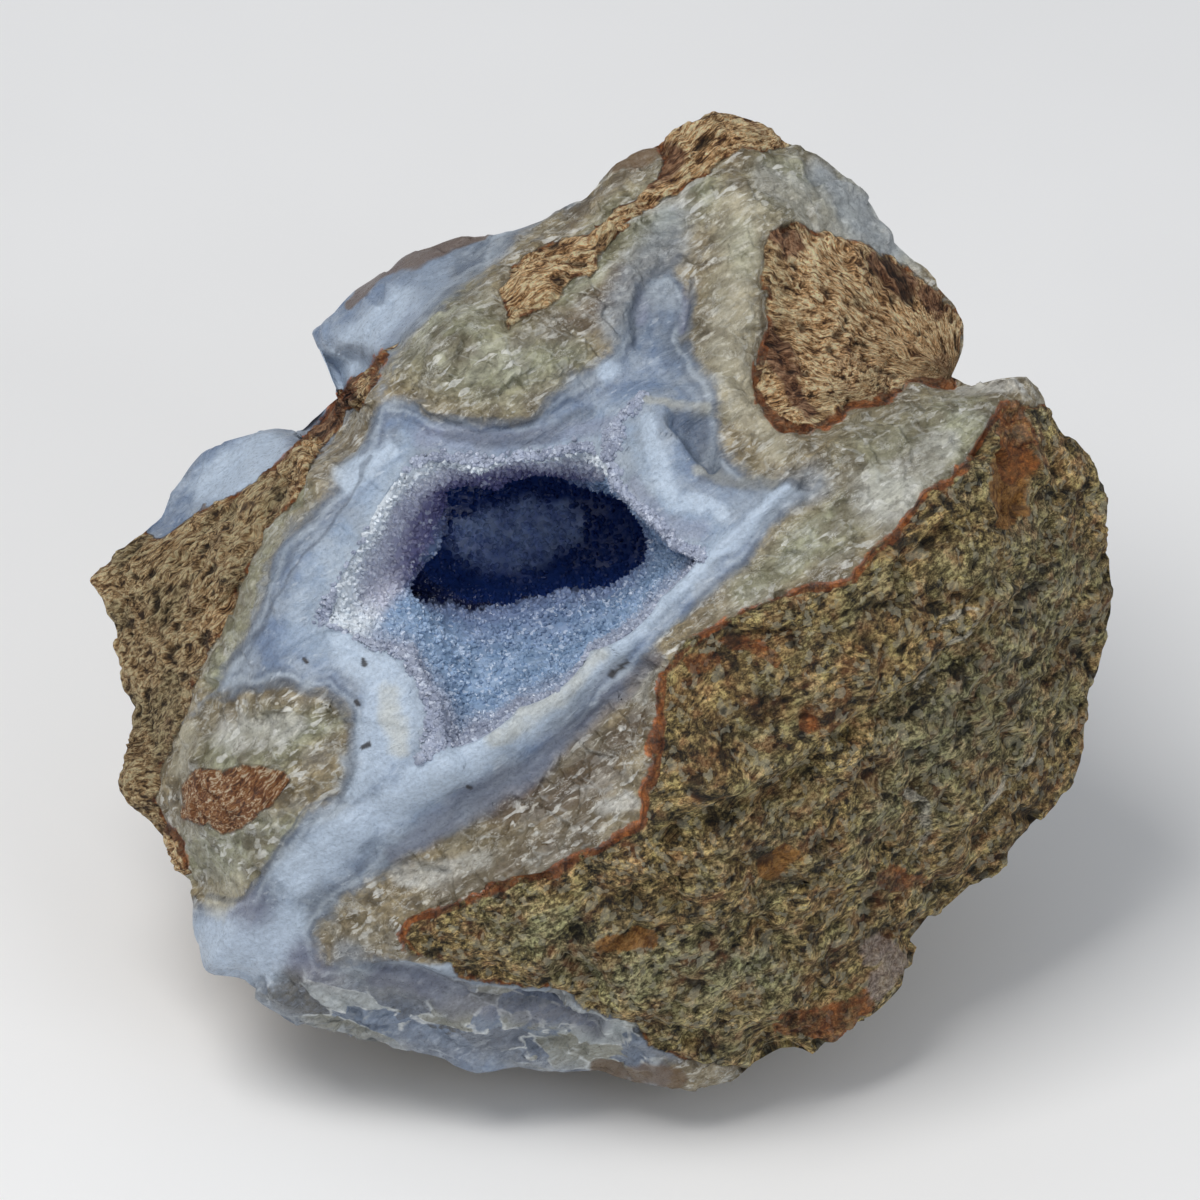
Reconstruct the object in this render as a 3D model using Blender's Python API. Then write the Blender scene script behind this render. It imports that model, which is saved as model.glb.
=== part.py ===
"""Blue lace agate geode: a lump of volcanic rock and agate, broken open at a hollow lined by quartz crystals.

The stone is modelled as seen square on to its broken face, in a face frame: x to the right, y up the face and
w out of it, all in millimetres. It is then leaned back and stood on the flat spot that it rests on.
World frame: metres, +Z up, origin at the middle of that flat spot, broken face towards -Y.
"""

import math

import bmesh
import bpy
import numpy as np
from mathutils import Matrix, Vector

MM = 0.001
GROUND_SIZE = 0.3  # of the block that cuts the resting spot flat

FACE_RISE = math.radians(38)  # how far the broken face looks up from the horizon
BASE_DROP = 50.0  # from the face frame's origin down to the resting plane
BASE_MIDDLE = (-0.1, 3.4)  # world x and y of the flat spot's middle before it becomes the origin

STONE_DETAIL = 7  # subdivisions of the sphere that becomes the stone
STONE_KEPT = 0.056  # share of its faces that stay
HOLLOW_DETAIL = 4  # subdivisions for the hollow and its crust
HOLLOW_JITTER = 0.035  # keeps the crystals out of rows

SHEET_MIDDLE = (-10.0, 0.0)  # the middle of the hollow's mouth, which every ring goes round
RIM_DEPTH = 3.0  # how far the front and the back stand off the outline where they roll over into it
ROLL = 12.0  # the higher, the tighter that roll
BLEND = 1.2  # rounding of a ridge or a groove

CHIP_SIZE = 11.0  # spacing of the flat chips that the rock breaks into
CHIP_TILT = 0.16
CHIP_STEP = 0.55
CHIP_BLEND = 1.2
AGATE_SMOOTHNESS = 0.25  # share of the rock's roughness that the agate has
EDGE_WIDTH = 1.5  # over which one passes into the other
RIM_CALM = 0.7  # share of the roughness that the outline itself goes without

CRUST_GAP = 0.35  # between the hollow's wall and the crust
CRUST_WALL = 1.1
CRYSTAL_HEIGHTS = (0.9, 2.3)
STEEPEST_CRYSTAL = 1.1  # its height over its width
CRYSTAL_LEAN = 0.18
MOUTH_ANGLE = math.radians(55)  # the part of the hollow's sphere that is its open mouth
SEED = 7

# The outline seen square on to the face, clockwise from the peak: x, y and its own w.
OUTLINE = [
    (13.7, 58.3, -6), (19.4, 57.1, -7), (24.0, 54.5, -8), (28.2, 52.4, -10), (33.6, 46.6, -10),
    (37.7, 41.0, -8), (42.6, 36.2, -4), (43.9, 33.4, -2), (42.3, 26.8, 3), (44.4, 25.6, 8),
    (48.0, 26.6, 12), (50.9, 26.8, 12), (55.4, 20.4, 10), (60.4, 14.2, 6), (61.0, 4.8, 2),
    (60.0, -6.0, -1), (57.8, -16.8, -2), (57.0, -21.0, -3), (50.4, -28.8, -2), (46.2, -33.6, -1),
    (37.2, -40.4, 0), (35.6, -45.8, 2), (30.6, -51.0, 3), (25.2, -53.7, 4), (21.6, -53.7, 4),
    (13.8, -58.1, 5), (8.4, -58.3, 6), (0.0, -56.4, 6), (-9.6, -55.2, 7), (-15.6, -55.8, 8),
    (-24.0, -53.0, 8), (-36.0, -50.0, 8), (-42.6, -45.4, 8), (-47.0, -44.0, 8), (-48.6, -33.8, 5),
    (-52.2, -29.4, 2), (-56.5, -24.5, 0), (-56.0, -13.2, -3), (-59.3, -2.4, -6), (-61.0, 2.6, -7),
    (-56.4, 7.4, -9), (-53.4, 9.6, -13), (-48.0, 18.0, -16), (-39.0, 20.7, -16), (-36.0, 19.8, -13),
    (-31.6, 24.6, -11), (-34.8, 32.4, -18), (-29.4, 37.8, -17), (-21.6, 42.2, -14), (-12.6, 44.2, -10),
    (-4.8, 46.8, -9), (-1.8, 48.6, -8), (1.8, 52.8, -7), (6.6, 54.2, -7), (10.2, 57.0, -6),
]

# The hollow's mouth, clockwise from its top left corner.
MOUTH = [
    (-20.4, 16.8, 17), (-14.4, 15.9, 17), (-7.2, 16.6, 16), (-1.2, 17.8, 17), (1.2, 16.2, 21),
    (1.6, 13.6, 22), (5.0, 10.0, 24), (8.8, 6.0, 26), (12.0, 4.8, 27.5), (7.2, 0.0, 28),
    (-1.2, -6.0, 28), (-9.6, -12.6, 28), (-17.4, -17.4, 28), (-19.0, -12.0, 27), (-22.2, -6.2, 26),
    (-30.6, -3.4, 23), (-32.2, -2.6, 21.5), (-28.2, 6.6, 19.5), (-24.0, 14.4, 18),
]

# Lines and spots of the front: ridges, grooves and the faces between them.
FRONT = {
    "rock edge": [
        (-23.4, -40.2, 22), (-12.0, -33.8, 27), (-4.8, -31.4, 29), (1.2, -28.6, 31), (5.8, -24.6, 33),
        (6.2, -19.2, 33), (5.8, -13.8, 33), (7.4, -8.2, 33), (12.0, -3.8, 33), (19.2, -0.2, 33),
        (26.4, 1.8, 32), (31.4, 4.8, 31), (36.6, 10.2, 29), (41.4, 15.0, 27), (46.2, 21.0, 23),
    ],
    "rock foot": [
        (-19.2, -42.6, 21), (-9.6, -45.4, 19), (0.0, -49.4, 17), (6.0, -53.0, 14), (12.0, -55.2, 11),
    ],
    "rock crease": [
        (18.0, -21.0, 33.5), (30.0, -13.4, 31), (43.2, -5.4, 26), (48.0, 1.2, 24), (51.6, 14.4, 19),
    ],
    "rock face": [
        (12.0, -33.6, 30), (30.0, -30.0, 23), (45.6, -18.0, 15), (19.2, -48.0, 15), (4.8, -43.2, 23),
        (54.0, 9.6, 15), (32.4, -43.2, 8), (55.2, -6.0, 9), (20.0, -11.0, 34), (52.0, 20.0, 16),
    ],
    "white lip": [
        (-46.2, -42.6, 14), (-40.8, -36.0, 19), (-34.8, -30.0, 23), (-30.6, -26.4, 26), (-24.0, -22.2, 28),
        (-18.0, -18.8, 29.5), (-12.0, -15.6, 30), (-4.8, -10.8, 30.5), (2.4, -5.4, 30.5), (9.6, 0.6, 30),
        (14.4, 4.8, 29.5), (20.4, 10.2, 29), (27.6, 15.6, 28),
    ],
    "groove below the lip": [
        (-32.4, -39.6, 17), (-24.0, -32.4, 22), (-16.8, -27.6, 24), (-9.6, -24.0, 25.5), (-3.6, -20.4, 27),
        (1.2, -14.4, 28.5), (4.8, -8.4, 30),
    ],
    "underside chips": [
        (-36.0, -45.6, 14), (-26.0, -46.8, 15), (-20.0, -50.5, 12.5), (-8.0, -51.0, 13), (-30.0, -43.6, 17),
    ],
    "lower lobe": [(-26.4, -10.8, 28.5), (-24.0, -16.8, 29), (-31.2, -7.2, 26), (-36.0, -6.0, 23.5)],
    "nodule": [
        (-39.6, -12.0, 24.5), (-30.0, -16.8, 27.5), (-36.0, -16.8, 26), (-43.2, -19.2, 22.5),
        (-43.2, -24.0, 23), (-48.0, -19.2, 17), (-48.0, -27.6, 16), (-36.0, -25.2, 25),
        (-31.4, -23.8, 24.5), (-45.0, -33.0, 14),
    ],
    "left agate": [
        (-36.0, 0.0, 22), (-40.8, -2.4, 18.5), (-42.6, -9.6, 18.5), (-45.0, -15.6, 16), (-32.4, 9.6, 18.5),
        (-27.6, 18.0, 16.5), (-36.0, 4.8, 20), (-24.0, 20.4, 15.5),
    ],
    "left rock edge": [
        (-26.0, 29.8, 8), (-27.4, 26.4, 9), (-30.0, 22.8, 9.5), (-33.6, 17.4, 10.5), (-36.6, 11.4, 12),
        (-39.6, 7.2, 13), (-42.6, 1.2, 13.5), (-45.0, -4.8, 13), (-48.0, -10.8, 12), (-51.0, -17.4, 9),
        (-52.8, -23.0, 6),
    ],
    "left rock": [
        (-31.2, 24.2, 2), (-36.0, 19.0, 2), (-43.2, 13.4, -1), (-48.0, 9.6, -3), (-54.0, 7.6, -6),
        (-48.0, 2.4, 5), (-54.0, 2.4, 0), (-54.0, -6.0, 2), (-49.2, -6.0, 8), (-54.0, -16.8, 3),
        (-58.0, 1.2, -4),
    ],
    "low lobe behind": [(-44.4, 15.6, -9), (-39.6, 18.6, -8), (-50.0, 11.8, -10), (-42.0, 19.6, -11)],
    "high lobe behind": [
        (-31.2, 31.2, -9), (-28.0, 28.6, -7), (-24.0, 34.8, -3), (-21.6, 38.4, -5), (-26.4, 36.0, -7),
        (-29.5, 34.5, -11), (-18.0, 40.2, -6),
    ],
    "shoulder": [
        (-25.4, 30.2, 6), (-22.8, 32.0, 7.5), (-19.2, 36.0, 6.5), (-14.4, 39.0, 5), (-10.8, 42.0, 2),
    ],
    "upper mass": [
        (-20.4, 30.0, 16), (-15.6, 32.4, 17), (-9.6, 31.2, 16.5), (-15.6, 25.8, 18), (-7.2, 26.4, 17),
        (-20.4, 24.0, 16.5), (-24.0, 25.2, 14), (-4.8, 36.0, 11), (0.0, 40.8, 7), (-7.2, 39.6, 7),
        (-12.0, 36.0, 12), (1.2, 32.4, 13), (-4.8, 31.2, 15), (6.0, 48.0, -1), (2.4, 44.4, 3),
        (12.0, 54.0, -3),
    ],
    "blue channel": [
        (-19.2, 21.0, 17), (-12.0, 20.4, 17.5), (-4.8, 22.8, 16.5), (1.2, 25.2, 15), (4.8, 27.6, 13.5),
        (7.4, 32.4, 10.5), (10.2, 38.4, 7), (12.0, 43.2, 4),
    ],
    "right mass": [
        (14.4, 33.6, 14), (16.8, 40.8, 10), (17.4, 45.6, 6), (24.0, 49.2, 0), (31.2, 46.8, -4),
        (18.6, 36.0, 14.5), (16.8, 30.0, 18), (16.8, 24.0, 20.5), (12.0, 24.0, 20),
    ],
    "upper right lobe": [
        (6.0, 21.6, 22), (8.4, 18.0, 25), (12.0, 14.4, 25.5), (7.2, 12.0, 25.5), (14.4, 9.6, 27.5),
        (16.8, 14.4, 26), (13.6, 21.0, 19.5), (3.6, 19.2, 21.5), (15.6, 17.0, 22.5),
    ],
    "slab": [
        (24.0, 19.0, 24.5), (30.0, 20.4, 23.5), (36.0, 22.6, 19.5), (42.0, 23.8, 16), (30.0, 12.0, 28.5),
        (36.0, 16.8, 26), (43.2, 20.4, 22), (21.6, 4.8, 30), (48.6, 24.0, 18),
    ],
    "block edge": [
        (20.2, 40.8, 9.5), (19.8, 36.0, 12.5), (18.8, 30.0, 15.5), (18.6, 25.8, 17.5), (21.6, 21.2, 20.5),
        (24.6, 20.4, 20.5), (30.0, 22.8, 16.5), (36.0, 24.8, 12.5), (42.0, 25.8, 9),
    ],
    "block": [
        (30.0, 36.0, 5), (30.0, 30.0, 10), (26.4, 26.4, 14.5), (36.0, 32.4, 3), (39.6, 36.0, -1),
        (36.0, 27.6, 8), (24.0, 42.6, 4), (31.2, 43.0, 0), (36.6, 40.6, -4), (24.0, 35.0, 10),
    ],
}

# Where the host rock shows on the front. The rest of the front is agate.
ROCKS = {
    "lower right": [
        (-24.0, -39.8), (-22.6, -38.2), (-19.2, -36.6), (-12.0, -34.1), (-6.6, -32.6), (-2.4, -30.4),
        (0.0, -28.6), (4.8, -26.2), (5.4, -24.0), (6.2, -20.4), (6.2, -15.6), (6.6, -12.0), (7.4, -8.4),
        (9.6, -5.8), (12.6, -3.4), (16.8, -1.2), (19.8, 0.2), (24.0, 1.2), (30.0, 2.8), (31.4, 5.4),
        (33.6, 7.2), (36.0, 9.6), (37.8, 12.0), (41.4, 14.6), (44.4, 18.0), (46.2, 21.0), (48.0, 23.4),
        (49.4, 23.8), (51.4, 22.6), (56.0, 24.0), (70.0, 0.0), (60.0, -45.0), (20.0, -70.0), (16.8, -56.4),
        (10.8, -55.4), (6.0, -53.4), (4.8, -50.4), (0.0, -49.4), (-3.0, -48.0), (-6.6, -46.2),
        (-12.0, -45.6), (-16.8, -45.0), (-19.2, -43.0), (-22.6, -42.0),
    ],
    "upper right": [
        (20.4, 44.2), (23.4, 45.4), (28.8, 43.9), (34.2, 41.8), (36.6, 40.6), (40.2, 37.8), (43.9, 33.6),
        (43.6, 30.6), (42.2, 26.4), (36.0, 25.8), (33.6, 24.2), (30.0, 23.4), (26.4, 20.2), (24.6, 19.8),
        (21.8, 20.6), (19.8, 21.8), (18.2, 25.4), (19.0, 29.4), (20.2, 33.6), (20.2, 37.2), (19.8, 41.4),
    ],
    "top": [
        (22.8, 60.0), (22.8, 55.2), (19.2, 54.0), (14.4, 53.4), (10.8, 50.4), (6.0, 47.4), (2.4, 43.8),
        (0.0, 41.4), (-4.8, 37.2), (-8.4, 34.6), (-11.4, 32.4), (-12.0, 37.2), (-10.2, 40.6), (-8.4, 42.0),
        (-4.8, 43.4), (-1.2, 44.4), (1.2, 46.2), (4.8, 48.6), (6.6, 51.6), (7.8, 60.0),
    ],
    "left": [
        (-24.0, 31.2), (-26.4, 29.4), (-29.4, 26.6), (-33.6, 21.8), (-37.2, 18.2), (-41.4, 14.4),
        (-48.0, 10.8), (-54.0, 7.8), (-62.0, 10.0), (-66.0, -10.0), (-60.0, -34.0), (-48.6, -32.4),
        (-51.0, -27.6), (-52.8, -24.0), (-52.8, -20.4), (-50.6, -14.4), (-47.4, -7.2), (-45.0, -3.6),
        (-43.4, 0.0), (-42.0, 4.8), (-39.0, 9.6), (-34.8, 14.4), (-33.0, 18.0), (-30.6, 22.2),
        (-28.2, 22.8), (-26.4, 27.6),
    ],
}

# Spots of the back, from which its lumpy dome is spanned.
BACK = [
    (0, 0, -44), (2, 20, -40), (6, 38, -27), (25, 26, -31), (-18, 24, -31), (-38, 9, -25), (-32, -8, -35),
    (2, -28, -47), (0, -42, -38), (26, -28, -38), (-28, -32, -35), (36, 6, -33), (46, -10, -24),
    (-46, -12, -21), (22, -46, -22), (-20, -47, -21), (52, 12, -13), (20, 50, -15), (-42, -36, -10),
]

# The hollow's rings behind its mouth: middle x and y, half width, half height, w, and how much of the mouth's
# own outline is left in the ring.
HOLLOW_RINGS = [
    (-9.6, 1.6, 19.0, 14.5, 19.0, 0.75),
    (-8.6, 4.4, 16.6, 11.2, 12.0, 0.35),
    (-7.2, 8.4, 14.8, 8.8, 4.0, 0.0),
    (-6.8, 9.4, 16.4, 10.2, -4.0, 0.0),
    (-6.8, 9.4, 14.6, 9.4, -11.0, 0.0),
    (-6.8, 9.4, 8.6, 5.6, -16.0, 0.0),
    (-6.8, 9.4, 0.0, 0.0, -18.0, 0.0),
]
RING_SHRINK = 0.9  # of that outline
RIM_LIP = 2.0  # least depth of such a ring behind the rim
CUTTER_FLARE = 1.12  # how much wider than the mouth the cutter starts
CUTTER_RISE = 7.0  # how far the cutter stands out of the mouth


def polar(points):
    """A ring's points as angle, distance and w about the mouth's middle, sorted by angle."""
    x, y, w = np.array(points, float).T
    x = x - SHEET_MIDDLE[0]
    y = y - SHEET_MIDDLE[1]
    angle = np.arctan2(y, x) % math.tau
    order = np.argsort(angle)
    return angle[order], np.hypot(x, y)[order], w[order]


def read_ring(points, angle):
    """Distance and w of a closed ring at any angle, straight between its points."""
    at, distance, w = polar(points)
    return np.interp(angle, at, distance, period=math.tau), np.interp(angle, at, w, period=math.tau)


def shifted(points, rise):
    """The points raised by so much in w."""
    return [(x, y, w + rise) for x, y, w in points]


class Sheet:
    """A surface w(x, y) spanned through spots: a sum of rounded cones (multiquadrics) and one plane."""

    def __init__(self, spots):
        self.spots = np.array(spots, float)
        count = len(self.spots)
        x, y, w = self.spots.T
        plane = np.column_stack([np.ones(count), x, y])
        system = np.block([[self.cones(x, y), plane], [plane.T, np.zeros((3, 3))]])
        self.weights = np.linalg.solve(system, np.append(w, np.zeros(3)))

    def cones(self, x, y):
        return np.sqrt((x[:, None] - self.spots[:, 0]) ** 2 + (y[:, None] - self.spots[:, 1]) ** 2 + BLEND**2)

    def __call__(self, x, y):
        terms = np.column_stack([self.cones(x, y), np.ones(len(x)), x, y])
        return terms @ self.weights


def hashed(cells, seed):
    """A repeatable value from -1 to 1 for each lattice cell."""
    i, j, k = cells.T
    n = (i * 374761393 + j * 668265263 + k * 2147483647 + seed * 1274126177) & 0xFFFFFFFF
    n = ((n ^ (n >> 13)) * 1274126177) & 0xFFFFFFFF
    return ((n ^ (n >> 16)) & 0xFFFF) / 32767.5 - 1


def lattice_noise(points, size, seed):
    """Smooth noise from -1 to 1: the values hashed at a cell's corners, blended by smoothstep."""
    cells = np.floor(points / size).astype(np.int64)
    share = points / size - cells
    share = share * share * (3 - 2 * share)
    total = np.zeros(len(points))
    for corner in np.ndindex(2, 2, 2):
        total += hashed(cells + corner, seed) * np.prod(np.where(corner, share, 1 - share), axis=1)
    return total


def chips(points):
    """Flat chips: a point takes its nearest seed's tilted plane, blended into the next nearest's."""
    cells = np.floor(points / CHIP_SIZE).astype(np.int64)
    near = np.full((2, len(points)), np.inf)
    plane = np.zeros((2, len(points)))
    for offset in np.ndindex(3, 3, 3):
        cell = cells + np.array(offset) - 1
        seed = (cell + 0.5 + 0.45 * np.column_stack([hashed(cell, key) for key in (4, 5, 6)])) * CHIP_SIZE
        away = points - seed
        distance = np.linalg.norm(away, axis=1)
        tilt = CHIP_TILT * np.column_stack([hashed(cell, key) for key in (7, 8, 9)])
        height = CHIP_STEP * hashed(cell, 10) + np.sum(away * tilt, axis=1)
        first = distance < near[0]
        second = ~first & (distance < near[1])
        near[1] = np.where(first, near[0], np.where(second, distance, near[1]))
        plane[1] = np.where(first, plane[0], np.where(second, height, plane[1]))
        near[0] = np.where(first, distance, near[0])
        plane[0] = np.where(first, height, plane[0])
    own = 0.5 + 0.5 * np.clip((near[1] - near[0]) / CHIP_BLEND, 0, 1)
    return plane[0] * own + plane[1] * (1 - own)


def depth_inside(polygon, x, y):
    """Distance to a polygon's edge, positive inside it."""
    corners = np.array(polygon)
    following = np.roll(corners, -1, axis=0)
    nearest = np.full(len(x), np.inf)
    inside = np.zeros(len(x), bool)
    for (ax, ay), (bx, by) in zip(corners, following):
        side_x = bx - ax
        side_y = by - ay
        along = np.clip(((x - ax) * side_x + (y - ay) * side_y) / (side_x**2 + side_y**2), 0, 1)
        nearest = np.minimum(nearest, np.hypot(x - ax - along * side_x, y - ay - along * side_y))
        if side_y:
            crosses = (ay > y) != (by > y)
            inside ^= crosses & (x < ax + (y - ay) * side_x / side_y)
    return np.where(inside, nearest, -nearest)


def rock_share(face, front):
    """1 on host rock and on the whole back, 0 on the front's agate."""
    depth = np.max([depth_inside(polygon, face[:, 0], face[:, 1]) for polygon in ROCKS.values()], axis=0)
    return np.where(front, np.clip(0.5 + depth / EDGE_WIDTH, 0, 1), 1.0)


def roughness(face, front):
    """How far lumps, ridges, chips and pits stand off the surface, less on the agate than on the rock."""
    lumps = 0.8 * lattice_noise(face, 17.0, 1)
    ridges = 0.9 * (0.4 - np.abs(lattice_noise(face * (1.0, 1.6, 1.0), 9.0, 2)))
    pits = 0.4 * lattice_noise(face, 4.0, 3)
    rock = rock_share(face, front)
    return lumps + (ridges + pits + chips(face)) * (AGATE_SMOOTHNESS + (1 - AGATE_SMOOTHNESS) * rock)


def to_world(face):
    """Face frame in millimetres to the world in metres: leaned back, and stood on its flat spot."""
    x, y, w = face.T
    world_y = y * math.sin(FACE_RISE) - w * math.cos(FACE_RISE)
    world_z = y * math.cos(FACE_RISE) + w * math.sin(FACE_RISE) + BASE_DROP
    return np.column_stack([x - BASE_MIDDLE[0], world_y - BASE_MIDDLE[1], world_z]) * MM


def stone_points(directions):
    """The stone's surface in each direction: two sheets over one outline, rolled together at its rim."""
    angle = np.arctan2(directions[:, 1], directions[:, 0]) % math.tau
    share = np.hypot(directions[:, 0], directions[:, 1])
    reach, rim_w = read_ring(OUTLINE, angle)
    x = SHEET_MIDDLE[0] + share * reach * np.cos(angle)
    y = SHEET_MIDDLE[1] + share * reach * np.sin(angle)
    front = Sheet([spot for line in FRONT.values() for spot in line] + MOUTH + shifted(OUTLINE, RIM_DEPTH))
    back = Sheet(BACK + shifted(OUTLINE, -RIM_DEPTH))
    roll = np.sqrt(np.clip(1 - share**ROLL, 0, 1))
    is_front = directions[:, 2] > 0
    w = rim_w + (np.where(is_front, front(x, y), back(x, y)) - rim_w) * roll
    face = np.column_stack([x, y, w])
    calm = 1 - RIM_CALM * share**ROLL
    return face + directions * (calm * roughness(face, is_front))[:, None]


def hollow_rings(angle):
    """Points of the mouth's rim and of each ring behind it, at these angles."""
    reach, rim_w = read_ring(MOUTH, angle)
    outward = np.column_stack([np.cos(angle), np.sin(angle), np.zeros(len(angle))])
    rim = (*SHEET_MIDDLE, 0) + reach[:, None] * outward + rim_w[:, None] * (0, 0, 1)
    rings = [rim]
    for middle_x, middle_y, half_width, half_height, w, kept in HOLLOW_RINGS:
        ellipse = (middle_x, middle_y, w) + outward * (half_width, half_height, 0)
        shrink = RING_SHRINK * half_width / HOLLOW_RINGS[0][2]
        copy = (middle_x, middle_y, w) + outward * (reach * shrink)[:, None]
        ring = ellipse + kept * (copy - ellipse)
        ring[:, 2] = np.minimum(ring[:, 2], rim_w - RIM_LIP) if kept else w
        rings.append(ring)
    return np.array(rings)


def hollow_points(directions):
    """The hollow's wall in each direction, straight between its rings, with a flared cap before the mouth."""
    angle = np.arctan2(directions[:, 1], directions[:, 0]) % math.tau
    turn = np.arccos(np.clip(directions[:, 2], -1, 1))
    rings = hollow_rings(angle)
    along = np.clip((turn - MOUTH_ANGLE) / (math.pi - MOUTH_ANGLE), 0, 1) * (len(rings) - 1)
    lower = np.minimum(along.astype(int), len(rings) - 2)
    share = (along - lower)[:, None]
    index = np.arange(len(angle))
    wall = rings[lower, index] * (1 - share) + rings[lower + 1, index] * share
    rise = np.clip(1 - turn / MOUTH_ANGLE, 0, 1)[:, None]
    middle = np.array((*SHEET_MIDDLE, 0))
    flare = np.hstack([CUTTER_FLARE * np.sqrt(1 - rise**2)] * 2 + [np.ones_like(rise)])
    cap = middle + (rings[0] - middle) * flare + rise * (0, 0, CUTTER_RISE)
    return np.where(rise > 0, cap, wall)


def unit_sphere(name, detail):
    """An icosphere's mesh and the directions of its vertices."""
    mesh = bpy.data.meshes.new(name)
    bm = bmesh.new()
    bmesh.ops.create_icosphere(bm, subdivisions=detail, radius=1.0)
    bm.to_mesh(mesh)
    bm.free()
    directions = np.empty(len(mesh.vertices) * 3)
    mesh.vertices.foreach_get("co", directions)
    return mesh, directions.reshape(-1, 3)


def hollow_mesh(name):
    """The hollow's closed mesh, its points and which lie inside the mouth, with a ring of them at its rim."""
    mesh, directions = unit_sphere(name, HOLLOW_DETAIL)
    directions += np.random.default_rng(SEED).uniform(-HOLLOW_JITTER, HOLLOW_JITTER, directions.shape)
    directions /= np.linalg.norm(directions, axis=1)[:, None]
    inside = directions[:, 2] < math.cos(MOUTH_ANGLE)
    ends = np.array([edge.vertices[:] for edge in mesh.edges])
    crossing = ends[inside[ends[:, 0]] != inside[ends[:, 1]]].ravel()
    rim = crossing[inside[crossing]]
    flat = directions[rim, :2] / np.hypot(directions[rim, 0], directions[rim, 1])[:, None]
    directions[rim, :2] = flat * math.sin(MOUTH_ANGLE)
    directions[rim, 2] = math.cos(MOUTH_ANGLE)
    return mesh, to_world(hollow_points(directions)), inside


def place(mesh, points, collection):
    """The mesh with its vertices at these world points, as an object in the collection."""
    mesh.vertices.foreach_set("co", points.ravel())
    mesh.update()
    obj = bpy.data.objects.new(mesh.name, mesh)
    collection.objects.link(obj)
    return obj


def surface(name, colour, roughness, transmission=0.0):
    """A Principled BSDF material."""
    material = bpy.data.materials.new(name)
    material.use_nodes = True
    shader = material.node_tree.nodes["Principled BSDF"]
    shader.inputs["Base Color"].default_value = (*colour, 1)
    shader.inputs["Roughness"].default_value = roughness
    shader.inputs["Transmission Weight"].default_value = transmission
    return material


def as_cutter(obj):
    obj.hide_render = True
    obj.display_type = "WIRE"
    return obj


def cut(obj, cutter, name):
    modifier = obj.modifiers.new(name, "BOOLEAN")
    modifier.operation = "DIFFERENCE"
    modifier.object = cutter


def make_ground_block(collection):
    """What the flat resting spot is cut with: a block whose top is the resting plane."""
    mesh = bpy.data.meshes.new("ground_block")
    bm = bmesh.new()
    bmesh.ops.create_cube(bm, size=GROUND_SIZE, matrix=Matrix.Translation((0, 0, -GROUND_SIZE / 2)))
    bm.to_mesh(mesh)
    bm.free()
    obj = bpy.data.objects.new("ground_block", mesh)
    collection.objects.link(obj)
    return as_cutter(obj)


def make_hollow(collection):
    mesh, points, _ = hollow_mesh("hollow")
    return as_cutter(place(mesh, points, collection))


def make_stone(collection, ground, hollow):
    """The rock and the agate grown in it, which are one piece."""
    mesh, directions = unit_sphere("geode_stone", STONE_DETAIL)
    stone = place(mesh, to_world(stone_points(directions)), collection)
    fewer = stone.modifiers.new("facets", "DECIMATE")
    fewer.ratio = STONE_KEPT
    cut(stone, ground, "resting spot")
    cut(stone, hollow, "hollow")
    stone.data.materials.append(surface("rock_and_agate", (0.36, 0.33, 0.27), 0.75))
    return stone


def make_crust(collection):
    """The quartz that lines the hollow: one thin shell with a pointed crystal on each of its inner faces."""
    mesh, points, inside = hollow_mesh("druzy_crust")
    crust = place(mesh, points, collection)
    bm = bmesh.new()
    bm.from_mesh(mesh)
    bm.normal_update()
    for vertex in bm.verts:
        vertex.co -= vertex.normal * CRUST_GAP * MM
    bm.verts.ensure_lookup_table()
    bmesh.ops.delete(bm, geom=[v for v in bm.verts if not inside[v.index]], context="VERTS")
    shell = list(bm.faces)
    inner = bmesh.ops.duplicate(bm, geom=list(bm.verts) + list(bm.edges) + shell)
    inner_faces = [g for g in inner["geom"] if isinstance(g, bmesh.types.BMFace)]
    inner_verts = [g for g in inner["geom"] if isinstance(g, bmesh.types.BMVert)]
    for vertex in inner_verts:
        vertex.co -= vertex.normal * CRUST_WALL * MM
    bmesh.ops.reverse_faces(bm, faces=inner_faces)
    rim = [e for e in bm.edges if e.is_boundary]
    bmesh.ops.bridge_loops(bm, edges=rim)
    grow_crystals(bm, inner_faces)
    bm.to_mesh(mesh)
    bm.free()
    crust.data.materials.append(surface("druzy_quartz", (0.42, 0.50, 0.66), 0.2, 0.3))
    return crust


def grow_crystals(bm, faces):
    """Raises a three-sided point on each face, of uneven height and leaning a little."""
    rng = np.random.default_rng(SEED)
    for face in faces:
        face.normal_update()
        side = math.sqrt(face.calc_area())
        height = min(rng.uniform(*CRYSTAL_HEIGHTS) * MM, STEEPEST_CRYSTAL * side)
        lean = Vector(rng.uniform(-CRYSTAL_LEAN, CRYSTAL_LEAN, 3)) * side
        tip = face.calc_center_median() + face.normal * height + lean
        bmesh.ops.poke(bm, faces=[face])["verts"][0].co = tip


def main():
    for obj in list(bpy.data.objects):
        bpy.data.objects.remove(obj)
    geode = bpy.data.collections.new("blue_lace_agate_geode")
    cutters = bpy.data.collections.new("cutters")
    for collection in (geode, cutters):
        bpy.context.scene.collection.children.link(collection)
    ground = make_ground_block(cutters)
    hollow = make_hollow(cutters)
    make_stone(geode, ground, hollow)
    make_crust(geode)


main()
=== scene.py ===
"""Looks of the blue lace agate geode: the broken face, the back, the crystal hollow and the studio.

The stone is worked out in its face frame, as seen square on to the broken face: x to the right, y up the
face and w out of it, in millimetres. Every ring goes round the middle of the hollow's mouth. The world is in
metres.
"""

import math
from functools import lru_cache
from types import SimpleNamespace

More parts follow.
